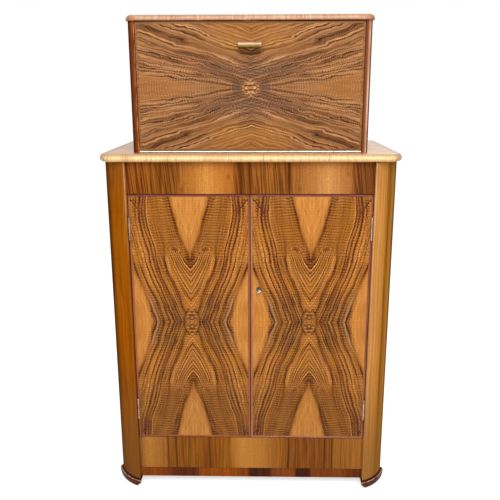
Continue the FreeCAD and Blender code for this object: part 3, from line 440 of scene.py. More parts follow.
    # rosy between the dark lines, grey in the waist
    rose = inward.near(0, 18) * isArm * breaks
    rust = f.patch(x, z, size["rust"], seed + 20).rise(0.5, 0.75)
    colour = f.mix(colour, tints["rose"], (rose * 0.20).most(rust * (1 - plain) * 0.12))
    colour = f.mix(colour, tints["waist"], (wedge * 0.34).most(waist * isArm * (1 - plain) * 0.16))
    pale = (inward + 49).near(0, 2.4) * waist * (1 - isSide)
    colour = f.mix(colour, tints["pale"], pale * 0.7)
    # darker and greyer towards the foot of the door
    colour = f.mix(colour, tints["lowerTint"], z.fall(150, 540) * 0.20)
    colour = innerFace(f, colour, x, z, seed, leaf["innerFace"])
    if nail:
        hole = (((x - nail[0]) ** 2 + (z - nail[1]) ** 2).root()).near(0, 1.9)
        colour = f.mix(colour, tints["nail"], hole)
    return polished(f, colour, tone, pores * (1 - plain * 0.7))


# the fall flap: four leaves with the run lying down

flapLeaf = {
    # among these, how far under the middle the handle's painted shadow lies, in mm
    "middle": (2.7, 1125), "halfWidth": 284, "rise": 118, "spread": 216, "grimeAndPaintedShade": 84, "innerFace": -157.6,
    # light and dark of the growth lines, from the middle line up
    "tones": [
        (0, 0.62), (0.06, 0.66), (0.10, 0.40), (0.13, 0.60), (0.17, 0.46), (0.20, 0.26), (0.235, 0.56),
        (0.29, 0.60), (0.32, 0.30), (0.36, 0.55), (0.40, 0.36), (0.43, 0.22), (0.47, 0.52), (0.53, 0.46),
        (0.56, 0.24), (0.60, 0.58), (0.66, 0.30), (0.69, 0.22), (0.73, 0.58), (0.78, 0.62), (0.81, 0.26),
        (0.845, 0.56), (0.89, 0.28), (0.92, 0.62), (0.955, 0.24), (1, 0.55)],
    # sizes of the markings in mm, across and along
    "sizes": {
        "drift": (110, 110), "bend": (40, 30), "wander": (80, 30), "ruffle": (14, 7),
        "lines": (1.8, 300), "broad": (2.6, 500), "pores": (0.9090909, 10), "breaks": (9, 120),
        "veins": (6, 500), "fineVeins": (3.4, 400), "fire": (70, 40), "curl": (8, 4.4),
        "rust": (60, 30), "eye": (30, 26)},
    "colours": [
        (0, 58, 29, 13), (0.14, 92, 55, 30), (0.28, 121, 78, 46), (0.43, 148, 100, 61),
        (0.58, 171, 119, 75), (0.73, 191, 136, 88), (0.88, 205, 149, 98), (1, 220, 165, 114)]}


def flapFigure(name, seed):
    f = Finish(name)
    x, _, z = f.place()
    leaf, size = flapLeaf, flapLeaf["sizes"]
    drift = f.shifts(x, z, size["drift"], seed)
    side = x - leaf["middle"][0] + drift[0] * 14
    high = z - leaf["middle"][1] + drift[1] * 14
    out = abs(side)
    up = abs(high)
    bend = f.patch(out, up, size["bend"], 1.5)
    ripple = (out * 0.92 + bend * 15 + up * up * 0.006).wave()
    wander = f.shifts(out, up, size["wander"], 3, 0.55)
    ruffle = f.shifts(out, up, size["ruffle"], 6)
    apart = out.rise(0, 40)
    p = out + wander[0] * 24 * apart
    q = up + wander[1] * 18 + (ruffle[1] * 7 + ripple * 0.8) * apart
    q = q.most(0)
    # each growth line climbs from the middle to the side edge
    part = p.most(0) / leaf["halfWidth"]
    lift = (1 - part) * leaf["rise"]
    drop = part * leaf["spread"]
    line = 2 * q / (drop + (drop * drop + 4 * lift * q).root() + 0.4)
    tone = f.tones(line / 1.25, leaf["tones"]) * 0.24 + 0.50
    run = line * 150
    lines = f.patch(run, p, size["lines"], seed + 4, 3, 0.62)
    broad = f.patch(run, p, size["broad"], seed + 9)
    pores = f.patch(run, p, size["pores"], seed + 6, 1).rise(0.60, 0.70)
    breaks = f.patch(run, p, size["breaks"], seed + 24).rise(0.30, 0.56)
    strong = veins(f, run, p, size["veins"], seed + 34, 0.15) * breaks
    fine = veins(f, run, p, size["fineVeins"], seed + 44, 0.16)
    centre = 1 + part.fall(0.04, 0.40) * 1.1
    tone = tone + 0.05 + ((lines - 0.5) * 0.40 + (broad - 0.5)) * centre - strong * 0.34 - fine * 0.22
    # close, even threads between the lines
    threads = ((run + ruffle[2] * 3 + (broad - 0.5) * 4) * 1.25).wave()
    tone = tone + threads * (0.05 + breaks * 0.09)
    # crossfire stands across the lines
    fire = f.patch(p, q, size["fire"], 8).rise(0.36, 0.64)
    smoke = part.fall(0.12, 0.75) * q.near(44, 46)
    tone = tone + ripple * (0.020 + fire * 0.070 + smoke * 0.07)
    # pale tongues at both ends
    tongue = (part * 84 - 40 - q + (lines - 0.5) * 16).rise(-6, 8)
    pale = 0.56 + (lines - 0.5) * 0.60 + ripple * 0.10 - fine * 0.16 - strong * 0.16 + threads * 0.06
    tone = f.blend(tone, pale, tongue * 0.75)
    # golden over and under the middle, darker in the smoke across it
    golden = part.fall(0.10, 0.62) * q.rise(62, 118)
    tone = tone + golden * 0.06 - smoke * 0.05
    # lids over and under the middle
    lids = ((q + p * p * 0.005 + bend * 6) * 0.86).wave()
    tone = tone + lids * smoke * p.fall(24, 84) * 0.13
    # the curl in the middle
    eyeAway = ((p / size["eye"][0]) ** 2 + (q / size["eye"][1]) ** 2).root()
    curl = f.patch(p, q, size["curl"], seed + 12)
    inEye = eyeAway.fall(0.6, 1.05)
    tone = f.blend(tone, 0.46 + (curl - 0.5) * 3.6, inEye)
    lump = p.near(36, 20) * q.near(3, 22)
    tone = tone - lump * (0.16 + breaks * 0.16)
    # the handle's painted shadow, darker under the handle
    under = abs(side).fall(20, 27) * high.near(leaf["grimeAndPaintedShade"], 6)
    tone = tone - under * 0.34
    colour = f.ramp(tone, leaf["colours"])
    rust = f.patch(x, z, size["rust"], seed + 20).rise(0.5, 0.75)
    colour = f.mix(colour, (182, 112, 74), rust * 0.20)
    colour = f.mix(colour, (186, 122, 44), golden * 0.34)
    colour = f.mix(colour, (106, 86, 74), (smoke * 0.26).most(lump * 0.5))
    colour = f.mix(colour, (196, 124, 58), tongue * 0.26)
    colour = innerFace(f, colour, z, x, seed, leaf["innerFace"])
    return polished(f, colour, tone, pores)


# boards with straight grain

blockSizes = {
    "low": -325, "span": 650, "pitch": 7, "bend": 12,
    "sway": (50, 160), "veins": (9, 420), "fineVeins": (5.6, 300), "flecks": (6, 4.6)}


def blockBoard(name, blocks, seed, stripes, slant=0, knots=(), middle=0, rough=polish["rough"]):
    # a veneer laid in upright blocks along the board
    f = Finish(name)
    x, _, z = f.place()
    size, low, span = blockSizes, blockSizes["low"], blockSizes["span"]
    sway = f.patch(x, z, size["sway"], seed)
    place = x + (sway - 0.5) * 9
    base = f.ramp((place - low) / span, [((at - low) / span, *colour) for at, *colour in blocks])
    plain = f.node("RGBToBW", {}, {0: base}).rise(0.18, 0.235)
    leant = place + (z - middle) * (1 - plain) * slant
    run, bands, lines, pores = grain(f, leant, z, seed, size["pitch"], size["bend"])
    knot = None
    for at, height in knots:
        away = (((x - at) / 1.4) ** 2 + ((z - height) / 2) ** 2).root()
        run = run + away.fall(0, 14) * 5
        dot = (away + (lines - 0.5) * 6).near(0, 6)
        knot = dot if knot is None else knot.most(dot)
    tone = (bands - 0.5) * 0.6 + (lines - 0.5) * 0.8
    strong = veins(f, run, z, size["veins"], seed + 15, 0.11)
    fine = veins(f, run, z, size["fineVeins"], seed + 18, 0.13)
    soft = (0 - tone).rise(0, 0.36) * 0.24
    dark = (soft + strong * (0.80 - plain * 0.66) + fine * (0.44 - plain * 0.24)) * stripes * 0.85
    colour = f.mix(base, (0.28, 0.20, 0.12, 1), dark, "MULTIPLY")
    colour = f.mix(colour, (236, 170, 92), tone.rise(0.02, 0.4) * stripes * 0.22)
    # flecks and faint ripple over the plain blocks
    flecks = f.patch(x, z, size["flecks"], seed + 40, 3, 0.6) - 0.5 + (z * 0.9 + sway * 9).wave() * 0.02
    colour = f.mix(colour, (112, 62, 18), flecks.rise(0.02, 0.22) * 0.24)
    colour = f.mix(colour, (244, 186, 112), (0 - flecks).rise(0.02, 0.22) * plain * 0.11)
    colour = f.mix(colour, (60, 26, 8), pores * 0.35)
    if knot is not None:
        colour = f.mix(colour, (96, 50, 18), knot * 0.45)
    return polished(f, colour, tone + 0.5 - strong * 0.3, pores, rough=rough)


# place along the board in mm, then red, green and blue
friezeBlocks = [
    (-325, 146, 76, 20), (-305, 164, 92, 26), (-264, 172, 102, 30), (-222, 170, 102, 32),
    (-216, 148, 86, 24), (-207, 150, 86, 24), (-200, 166, 100, 34), (-188, 176, 106, 40),
    (-150, 188, 118, 46), (-112, 220, 150, 70), (-84, 204, 130, 54), (-36, 180, 106, 36),
    (-26, 164, 94, 30), (-19, 140, 78, 22), (-10, 166, 98, 34), (40, 176, 106, 40),
    (94, 166, 100, 38), (101, 144, 84, 30), (106, 156, 92, 36), (113, 176, 108, 48),
    (160, 186, 118, 58), (203, 218, 152, 84), (240, 190, 122, 62), (268, 174, 106, 48),
    (288, 148, 86, 34), (302, 144, 84, 34), (323, 134, 76, 32)]
apronBlocks = [
    (-325, 164, 104, 42), (-300, 186, 122, 54), (-244, 170, 108, 44), (-240, 92, 48, 12),
    (-236, 150, 90, 30), (-218, 148, 86, 28), (-214, 78, 40, 10), (-209, 152, 92, 26),
    (-160, 152, 90, 24), (-122, 148, 84, 22), (-118, 80, 42, 10), (-113, 152, 88, 20),
    (-60, 170, 104, 32), (-28, 194, 132, 58), (20, 188, 124, 52), (90, 168, 102, 36), (104, 148, 86, 28),
    (108, 76, 38, 10), (113, 146, 84, 26), (207, 148, 86, 28), (211, 80, 42, 10),
    (216, 152, 90, 30), (229, 150, 88, 30), (233, 88, 46, 12), (238, 164, 102, 36),
    (322, 172, 110, 44)]
plinthBlocks = [
    (-325, 158, 80, 16), (-262, 150, 70, 12), (-242, 128, 60, 10), (-222, 106, 46, 10),
    (-168, 102, 44, 10), (-156, 124, 62, 12), (-140, 164, 84, 14), (-60, 168, 84, 14),
    (-9, 146, 72, 14), (-4, 74, 30, 10), (56, 80, 34, 12), (61, 140, 70, 24),
    (127, 150, 78, 28), (132, 72, 30, 12), (170, 78, 32, 12), (175, 142, 70, 22),
    (262, 142, 72, 20), (296, 118, 50, 10), (325, 116, 52, 12)]
# along the board and height in mm
friezeKnots = [(-56.6, 903), (-178, 869), (129, 873), (253.7, 911)]

# colours, then width and bend of the growth bands in mm and their force
woods = {
    "side": {
        "dark": (92, 50, 16), "mid": (142, 86, 34), "pale": (178, 114, 52),
        "pitch": 22, "bend": 60, "force": 1},
    "upperSide": {
        "dark": (86, 44, 14), "mid": (136, 80, 32), "pale": (172, 108, 50),
        "pitch": 12, "bend": 30, "force": 0.9, "gloss": 0.02},
    # the two lipping woods are one wood, painted darker as in shade on the left door and paler as lit on the right
    # door
    "lipping": {
        "dark": (100, 50, 34), "mid": (158, 92, 58), "pale": (190, 122, 82),
        "pitch": 5, "bend": 10, "force": 0.7},
    "lippingPale": {
        "dark": (114, 62, 48), "mid": (174, 112, 86), "pale": (206, 146, 118),
        "pitch": 5, "bend": 10, "force": 0.7},
    "flapLipping": {
        "dark": (98, 58, 30), "mid": (146, 98, 58), "pale": (182, 128, 82),
        "pitch": 5, "bend": 10, "force": 0.8, "lying": True},
    "foot": {
        "dark": (38, 14, 5), "mid": (78, 34, 13), "pale": (126, 64, 36),
        "pitch": 8, "bend": 14, "force": 0.8, "rough": 0.24, "lying": True},
    "carcass": {
        "dark": (148, 104, 58), "mid": (192, 148, 94), "pale": (216, 176, 122),
        "pitch": 16, "bend": 40, "force": 0.7, "rough": 0.5, "lying": True},
    "back": {
        "dark": (150, 104, 62), "mid": (186, 140, 92), "pale": (208, 166, 116),
        "pitch": 34, "bend": 90, "force": 0.9, "rough": 0.55}}

# sizes of the markings in mm, across and along
boardSizes = {"veins": (5, 420), "cloud": (90, 260)}


def board(name, wood, seed, wearAndPaintedLight=None):
    # plain board: grain upright or lying, growth bands across it
    f = Finish(name)
    x, y, z = f.place()
    want = woods[wood]
    dark, mid, pale = want["dark"], want["mid"], want["pale"]
    across, length = (y + z * 0.9, x) if want.get("lying") else (x + y * 0.9, z)
    run, bands, lines, pores = grain(f, across, length, seed, want["pitch"], want["bend"])
    fine = veins(f, run, length, boardSizes["veins"], seed + 18, 0.07)
    tone = 0.5 + ((bands - 0.5) * 1.5 + (lines - 0.5) * 0.7 - fine * 0.16) * want["force"]
    colour = f.ramp(tone, [(0.18, *dark), (0.5, *mid), (0.82, *pale)])
    cloud = f.patch(across, length, boardSizes["cloud"], seed + 21)
    colour = f.mix(colour, pale, cloud.rise(0.48, 0.75) * 0.25)
    colour = f.mix(colour, dark, pores * 0.55)
    # wear, and painted light and shade on some edges
    if wearAndPaintedLight:
        colour = wearAndPaintedLight(f, colour)
    return polished(f, colour, tone, pores, **want)


postWood = {
    "inner": 321.5, "width": 62.5, "pitch": 12, "bend": 20, "sway": (40, 260), "veins": (6, 520),
    # colours over the bow from inside to outside, pale at the inner arris as a painted highlight and darkening round
    # the outer side as painted shade; streaks: place over the bow, width, two heights, strength
    "left": {
        "bands": [
            (0, 176, 106, 32), (0.05, 158, 88, 10), (0.12, 154, 84, 7), (0.34, 168, 94, 8),
            (0.50, 158, 86, 8), (0.66, 166, 92, 10), (0.80, 130, 70, 6), (0.92, 98, 52, 6), (1, 74, 38, 6)],
        "darkerTint": (124, 80, 40), "streakTint": (186, 76, 8),
        "streaks": [
            (0.28, 0.05, 420, 700, 0.7), (0.44, 0.04, 380, 620, 0.6), (0.62, 0.05, 120, 560, 0.5)]},
    "right": {
        "bands": [
            (0, 226, 164, 102), (0.07, 218, 152, 84), (0.30, 214, 148, 76), (0.48, 208, 142, 66),
            (0.57, 196, 130, 52), (0.64, 162, 98, 24), (0.74, 172, 110, 36), (0.84, 188, 132, 58),
            (0.93, 150, 100, 38), (1, 84, 52, 18)],
        "darkerTint": (150, 100, 46), "streakTint": (108, 58, 10),
        "streaks": [
            (0.56, 0.035, 820, 960, 0.9), (0.66, 0.03, 640, 960, 0.8), (0.72, 0.03, 760, 960, 0.6),
            (0.64, 0.05, 60, 640, 0.35)]}}


def postBow(name, side, seed):
    # upright veneer wrapped round the bow, streaked where the sun never reached
    f = Finish(name)
    x, y, z = f.place()
    want = postWood[side]
    sway = f.patch(x, z, postWood["sway"], seed)
    bow = (abs(x) - postWood["inner"]) / postWood["width"] + (sway - 0.5) * 0.10
    run, bands, lines, pores = grain(f, x + y * 0.9, z, seed, postWood["pitch"], postWood["bend"])
    fine = veins(f, run, z, postWood["veins"], seed + 18, 0.14)
    colour = f.ramp(bow, want["bands"])
    tone = 0.06 + (bands - 0.5) * 1.1 + (lines - 0.5) * 0.9 - fine * 0.34
    colour = f.mix(colour, (0.55, 0.44, 0.30, 1), (0 - tone).rise(0, 0.5) * 0.7, "MULTIPLY")
    colour = f.mix(colour, (236, 172, 92), tone.rise(0.02, 0.5) * 0.30)
    colour = f.mix(colour, (90, 46, 8), pores * 0.4)
    for at, wide, low, high, share in want["streaks"]:
        length = z.rise(low, low + 60) * z.fall(high - 60, high + 1)
        mark = (bow + (lines - 0.5) * 0.08).near(at, wide) * length
        colour = f.mix(colour, want["streakTint"], mark * share)
    # darker towards the floor, and painted shade under the top
    dimmer = (z.fall(60, 460) * 0.74).most(z.rise(820, 930) * 0.26)
    colour = f.mix(colour, want["darkerTint"], dimmer)
    # a painted highlight on the inner arris, broken up like a rub, painted shadow under the top, painted shade at the
    # joint above the foot
    paintedArrisHighlight = abs(x).fall(322.5, 325) * f.noise(z / 60, x / 9, seed, 3).rise(0.34, 0.56)
    colour = f.mix(colour, (240, 184, 130), paintedArrisHighlight * z.rise(640, 930) * 0.5)
    # painted shadow under the top
    colour = f.mix(colour, (56, 22, 4), z.rise(938, 943) * 0.6)
    # painted shade at the joint above the foot
    grimeAndPaintedShade = (z + f.noise(x / 9, y / 9, 2, 2) * 3).fall(25.5, 30)
    colour = f.mix(colour, (44, 22, 8), grimeAndPaintedShade * 0.85)
    return polished(f, colour, tone + 0.5, pores, rough=0.34, gloss=0)


def footWearShadeAndHighlight(f, colour):
    # the stain is worn off in patches; painted shade at the joint under the post, and a pale line along the bead that
    # is painted highlight and worn edge in one
    x, y, z = f.spot
    patch = f.noise(x / 16, y / 16, z / 5, 3, 0.6)
    colour = f.mix(colour, (140, 78, 48), patch.rise(0.50, 0.70) * z.rise(4, 14) * 0.5)
    # painted shade at the joint under the post
    colour = f.mix(colour, (34, 12, 5), z.rise(21.5, 23.2) * 0.75)
    # pale line along the bead: painted highlight and worn edge
    beadHighlightAndWear = (z + (patch - 0.5) * 2.4).near(21, 1.4) * patch.rise(0.38, 0.50)
    return f.mix(colour, (226, 182, 156), beadHighlightAndWear * 0.8)


def shadedLeftFrontEdge(f, colour):
    # the front edge of the left side, painted as in shade: darker overall, golden in patches towards the flap with a
    # painted highlight line, and painted shade on the outer arris
    x, y, z = f.spot
    front = y.fall(-176.2, -174)
    patchy = f.noise(z / 50, x / 6, 9, 3).rise(0.40, 0.62)
    colour = f.mix(colour, (92, 38, 14), front * 0.85)
    colour = f.mix(colour, (150, 80, 26), front * (x + 301).rise(5, 10) * (0.15 + patchy * 0.5))
    # painted highlight line along the edge
    colour = f.mix(colour, (222, 150, 104), front * (x + 287).near(0, 2.2) * patchy * 0.8)
    # painted shade on the outer arris
    return f.mix(colour, (44, 16, 6), front * (x + 301).fall(1, 6) * 0.8)


def litRightFrontEdge(f, colour):
    # the front edge of the right side, painted as lit: paler overall, painted shade by the flap, and a painted
    # highlight beside a painted-shade outer arris
    x, y, z = f.spot
    front = y.fall(-176.2, -174)
    patchy = f.noise(z / 60, x / 6, 4, 3).rise(0.36, 0.6)
    colour = f.mix(colour, (176, 124, 90), front * 0.8)
    # painted shade by the flap
    colour = f.mix(colour, (112, 50, 28), front * (x - 286).fall(4, 8) * 0.85)
    # painted highlight beside the outer arris
    colour = f.mix(colour, (236, 200, 176), front * (x - 295.8).near(0, 2.2) * patchy * 0.85)
    # painted shade on the outer arris
    return f.mix(colour, (46, 24, 14), (x - 297.6).rise(0, 1.4) * front * 0.9)


def lippingTop(f, colour):
    # plum-coloured along the upper edge: the lipping's top, with painted shade from the gap above it
    z = f.spot[2]
    return f.mix(colour, (112, 58, 58), z.rise(850, 853) * 0.75)


topWood = {
    "surface": [(0.15, 182, 126, 72), (0.5, 222, 168, 108), (0.85, 240, 192, 136)],
    # colours up the moulded edge, with a painted highlight band across the round; the upper top's edge also has
    # painted shade along its underside
    "edge": [
        (0, 206, 154, 96), (0.30, 230, 190, 126), (0.52, 244, 220, 160), (0.72, 226, 190, 130),
        (1, 196, 154, 108)],
    "upperEdge": [
        (0, 120, 72, 46), (0.26, 178, 126, 90), (0.52, 214, 168, 130), (0.74, 192, 144, 106),
        (1, 150, 108, 78)],
    "edgeDepth": 26, "pitch": 16, "bend": 46, "veins": (9, 420), "ticks": (4.6, 60), "patch": (34, 90)}


def topBoard(name, node, seed, edgeTones):
    # lengthwise veneer on the face, a cross-grained band round the moulded edge
    f = Finish(name)
    x, y, z = f.place()
    low, high = [corner * 1000 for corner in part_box(node)]
    depth = topWood["edgeDepth"]
    run, bands, lines, pores = grain(f, y, x, seed, topWood["pitch"], topWood["bend"])
    fine = veins(f, run, x, topWood["veins"], seed + 18, 0.06)
    tone = 0.5 + (bands - 0.5) * 1.1 + (lines - 0.5) * 0.5 - fine * 0.14
    surface = f.ramp(tone, topWood["surface"])
    fromSide = (high.x - abs(x)).least((y - low.y).least(high.y - y))
    around = f.blend(x, y, (abs(x) - high.x + depth).over(0))
    ticks = f.patch(around, z, topWood["ticks"], seed + 30, 3, 0.65)
    patch = f.patch(around, z, topWood["patch"], seed + 33)
    # painted highlight band and painted shade up the edge
    edge = f.ramp((z - low.z) / (high.z - low.z), topWood[edgeTones])
    edge = f.mix(edge, (168, 102, 64), ticks.rise(0.51, 0.66) * patch.rise(0.26, 0.54) * 0.8)
    edge = f.mix(edge, (200, 142, 92), patch.rise(0.50, 0.72) * 0.45)
    tip = (abs(x) - high.x).rise(-26, -4) * (0.45 + patch * 0.6)
    edge = f.mix(edge, (146, 96, 48), tip)
    edge = f.mix(edge, (255, 240, 200), (1 - ticks).rise(0.54, 0.70) * 0.30)
    isEdge = fromSide.fall(depth - 1, depth + 1)
    colour = f.mix(surface, edge, isEdge)
    seam = fromSide.near(depth, 0.7)
    colour = f.mix(colour, (104, 58, 26), seam * 0.6)
    colour = f.mix(colour, (90, 46, 16), pores * (1 - isEdge) * 0.4)
    return polished(f, colour, tone, pores * (1 - isEdge), rough=0.30, gloss=0.4)


# metal and glass

def brass(name, bright, dimmer, seed, rough=0.30):
    # lacquer long gone: olive bloom, brown in the hollows, fine rubbing
    f = Finish(name)
    x, y, z = f.place()
    bloom = f.cloud(9, 4, 0.65)
    specks = f.cloud(1.1, 3, 0.6)
    rub = f.noise(x / 14, y * 2.2, z * 2.2 + seed, 2)
    colour = f.mix(bright, dimmer, bloom.rise(0.38, 0.72) * 0.8)
    colour = f.mix(colour, (74, 54, 26), specks.rise(0.62, 0.76) * 0.7)
    level = rough + (bloom - 0.5) * 0.3 + (rub - 0.5) * 0.16
    return f.set(Base_Color=colour, Metallic=1, Roughness=level,
                 Normal=f.bump(rub * 0.6 - specks, 0.25, 0.00008))


handleTones = {
    "middle": 1227, "reach": 9,
    # colours up the bar: painted shade underneath to painted highlight on top
    "tones": [
        (0, 84, 60, 14), (0.22, 122, 98, 36), (0.45, 150, 122, 80), (0.72, 176, 147, 114),
        (1, 190, 162, 138)]}


def handleBrass(name):
    # painted highlight on top and painted shade underneath, over brass handled bright on top and tarnished olive
    # underneath
    f = Finish(name)
    x, y, z = f.place()
    bloom = f.noise(x / 12, y / 9, z / 9, 3, 0.6)
    rub = f.noise(x / 2, y / 14, z / 14, 2)
    level = (z - handleTones["middle"]) / (2 * handleTones["reach"]) + 0.5
    colour = f.ramp(level + (bloom - 0.5) * 0.35 + (rub - 0.5) * 0.12, handleTones["tones"])
    return f.set(Base_Color=colour, Metallic=1, Roughness=0.48 + (bloom - 0.5) * 0.2,
                 Normal=f.bump(rub, 0.2, 0.00006))


def steelFinish(name):
    f = Finish(name)
    x, y, z = f.place()
    turned = f.noise(x / 8, y * 2, z * 2, 2)
    grimeAndPaintedShade = f.cloud(2.5, 4, 0.65)
    colour = f.mix((176, 174, 168), (112, 100, 86), grimeAndPaintedShade.rise(0.45, 0.75))
    return f.set(Base_Color=colour, Metallic=1, Roughness=0.30 + (grimeAndPaintedShade - 0.5) * 0.3 + (turned - 0.5) * 0.14,
                 Normal=f.bump(turned - grimeAndPaintedShade, 0.2, 0.00006))


def mirrorFinish(name):
    # old silvering: browned along the edges with a few black spots
    f = Finish(name)
    x, _, z = f.place()
    low, high = [corner * 1000 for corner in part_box("mirror_plate")]
    inwards = (high.x - abs(x)).least((z - low.z).least(high.z - z))
    cloud = f.noise(x / 16, z / 16, 0, 4, 0.65)
    spots = f.noise(x / 3.6, z / 3.6, 4, 3, 0.6)
    browned = (inwards + (cloud - 0.5) * 34).fall(0, 16)
    aged = browned.most(spots.rise(0.70, 0.78) * cloud.rise(0.5, 0.7))
    colour = f.mix((232, 234, 230), (92, 76, 58), aged * 0.85)
    return f.set(Base_Color=colour, Metallic=1 - aged * 0.6, Roughness=0.03 + aged * 0.35)


def glassFinish(name):
    f = Finish(name)
    f.place()
    dust = f.cloud(12, 4, 0.6)
    return f.set(Base_Color=tint(226, 240, 232), Roughness=0.02 + dust.rise(0.55, 0.8) * 0.10,
                 Transmission_Weight=1, IOR=1.5)


# each finish and the parts that wear it

steel = steelFinish("wornSteel")
# slot floor: grime, with painted shade for the slot's depth
slotShadeAndGrime = brass("slotShadeAndGrime", (46, 38, 30), (24, 18, 14), 11, 0.6)
wearing = [
    (doorFigure("leftDoorFigure", -160, 1, (-140, 252)), ["left_door_panel"]),
    (doorFigure("rightDoorFigure", 161.5, 31), ["right_door_panel"]),
    (flapFigure("flapFigure", 61), ["flap_panel"]),
    (blockBoard("friezeVeneer", friezeBlocks, 5, 1, slant=0.10, knots=friezeKnots, middle=900), ["frieze_rail"]),
    (blockBoard("apronVeneer", apronBlocks, 15, 0.62), ["bottom_rail"]),
    (blockBoard("plinthVeneer", plinthBlocks, 25, 0.5, rough=0.26), ["plinth_strip"]),
    (postBow("leftPostWalnut", "left", 41), ["left_corner_post"]),
    (postBow("rightPostWalnut", "right", 45), ["right_corner_post"]),
    (board("sideWalnut", "side", 51), ["left_side_panel", "right_side_panel"]),
    (topBoard("topWalnut", "cabinet_top", 55, "edge"), ["cabinet_top"]),
    (topBoard("upperTopWalnut", "upper_top", 57, "upperEdge"), ["upper_top"]),
    (board("upperLeftWalnut", "upperSide", 65, shadedLeftFrontEdge), ["upper_left_side"]),
    (board("upperRightWalnut", "upperSide", 67, litRightFrontEdge), ["upper_right_side"]),
    (board("shadedLipping", "lipping", 71, lippingTop), ["left_door_lipping"]),
    (board("litLipping", "lippingPale", 72, lippingTop), ["right_door_lipping"]),
    (board("flapLipping", "flapLipping", 73), ["flap_lipping"]),
    (board("stainedFoot", "foot", 75, footWearShadeAndHighlight), ["left_front_foot", "right_front_foot", "rear_feet"]),
    (board("carcassWood", "carcass", 81), [
        "base_board", "lower_shelf", "shelf_bearers", "top_cleats", "door_stops", "upper_floor", "mirror_beading"]),
    (board("backPlywood", "back", 85), ["lower_back_panel", "upper_back_panel"]),
    (brass("agedBrass", (196, 162, 100), (128, 100, 50), 3), [
        "stay_brackets", "stay_pivots", "left_stay_bar", "right_stay_bar", "left_stay_guide", "right_stay_guide",
        "slide_housings", "upper_slide_bolt", "lower_slide_bolt", "lock_keep", "catch_barrel", "catch_strike",
        "shelf_pegs", "lock_case"]),
    (handleBrass("handleBrass"), ["handle_bar", "handle_posts"]),
    (brass("hingeBrass", (196, 176, 152), (112, 88, 70), 5, 0.34), [
        "post_hinge_leaves", "left_door_hinge_leaves", "right_door_hinge_leaves"]),
    (brass("dulledNickel", (112, 100, 84), (58, 48, 36), 9, 0.34), ["escutcheon"]),
    (brass("wornNickel", (212, 208, 202), (136, 124, 112), 7, 0.22), [
        "piano_hinge_fixed_leaf", "piano_hinge_flap_leaf", "key"]),
    (steel, ["door_hinge_pins", "piano_hinge_pin", "lock_bolt", "catch_ball", "handle_screws", "back_screws"]),
    (mirrorFinish("oldMirror"), ["mirror_plate"]),
    (glassFinish("shelfGlass"), ["glass_shelf"])]
print("finishes made:", len(wearing) + 1)


def dress(wearing):
    for finish, names in wearing:
        for name in names:
            slots = nodes[name].data.materials
            if not slots:
                slots.append(finish)
            for index in range(len(slots)):
                slots[index] = finish
    bare = set(nodes) - {name for _, names in wearing for name in names}
    print("parts dressed, left bare:", sorted(bare))


dress(wearing)


# slotted screws: a head and its slot, dark with grime and with painted shade for its depth

screwKinds = {
    # head radius and rise in mm, and whether the head is drawn or stands in the frame
    "butt": (2.6, 0.10, True), "long": (2.3, 0.40, True), "fitting": (2.1, 0.50, True), "strike": (1.8, 0.12, True),
    "back": (3.5, 0, False), "handle": (4, 0, False)}


def screwSet(name, body, kind, look, places):
    radius, rise, drawn = screwKinds[kind]
    shape = bmesh.new()
    turn = Vector((0, 0, 1)).rotation_difference(Vector(look)).to_matrix().to_4x4()
    for number, place in enumerate(places):
        spot = Matrix.Translation([level / 1000 for level in place]) @ turn
        spot = spot @ Matrix.Rotation(number * 1.9 + len(name), 4, "Z")
        if drawn:
            bmesh.ops.create_cone(
                shape, cap_ends=True, segments=16, radius1=radius / 1000, radius2=radius * 0.84 / 1000,
                depth=rise / 1000, matrix=spot @ Matrix.Translation((0, 0, rise / 2000)))
        groove = spot @ Matrix.Translation((0, 0, rise / 1000))
        groove = groove @ Matrix.Diagonal((radius * 0.0015, radius * 0.00026, 0.00006, 1))
        made = bmesh.ops.create_cube(shape, size=1, matrix=groove)
        for face in {face for vert in made["verts"] for face in vert.link_faces}:
            face.material_index = 1
    piece = addMesh(name, shape, steel, slotShadeAndGrime)
    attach(piece, body)


buttRows = [
    (y, middle + step) for middle in (245, 767) for y, step in ((-185.5, -22), (-189.5, 0), (-185.5, 22))]
longRow = [-249 + 71.14 * step for step in range(8)]
slideRows = [(x, middle + step) for middle in (201, 811) for x in (-40.6, -21.6) for step in (-25, 25)]
backRows = [(375, 219.5, z) for z in (85, 357.6, 638.4, 911)]
backRows += [(293.5, 206.9, z) for z in (995, 1080.3, 1168.3, 1253.6)]

screwSet("leftPostScrews", "cabinet", "butt", (1, 0, 0), [(-320.5, y, z) for y, z in buttRows])
screwSet("rightPostScrews", "cabinet", "butt", (-1, 0, 0), [(320.5, y, z) for y, z in buttRows])
screwSet("leftDoorScrews", "left_door", "butt", (-1, 0, 0), [(-320.1, y, z) for y, z in buttRows])
screwSet("rightDoorScrews", "right_door", "butt", (1, 0, 0), [(320.1, y, z) for y, z in buttRows])
screwSet("longHingeScrews", "cabinet", "long", (0, 0, 1), [(x, -167, 964.2) for x in longRow])
screwSet("flapHingeScrews", "flap", "long", (0, 0, -1), [(x, -167, 967.3) for x in longRow])
screwSet("bracketScrews", "flap", "fitting", (0, 1, 0),
         [(side * 266.5, -155.6, 1112.4 + step) for side in (-1, 1) for step in (-8.5, 8.5)])
screwSet("slideScrews", "left_door", "fitting", (0, 1, 0), [(x, -175, z) for x, z in slideRows])
screwSet("keepScrews", "left_door", "fitting", (0, 1, 0), [(-9.1, -164.2, z) for z in (608.2, 617.8)])
screwSet("lockScrews", "right_door", "fitting", (0, 1, 0),
         [(x, -164, z) for x in (8.6, 53.6) for z in (577.5, 620.5)])
screwSet("strikeScrews", "cabinet", "strike", (0, 0, -1), [(x, -167.1, 1284.8) for x in (-12, 12)])
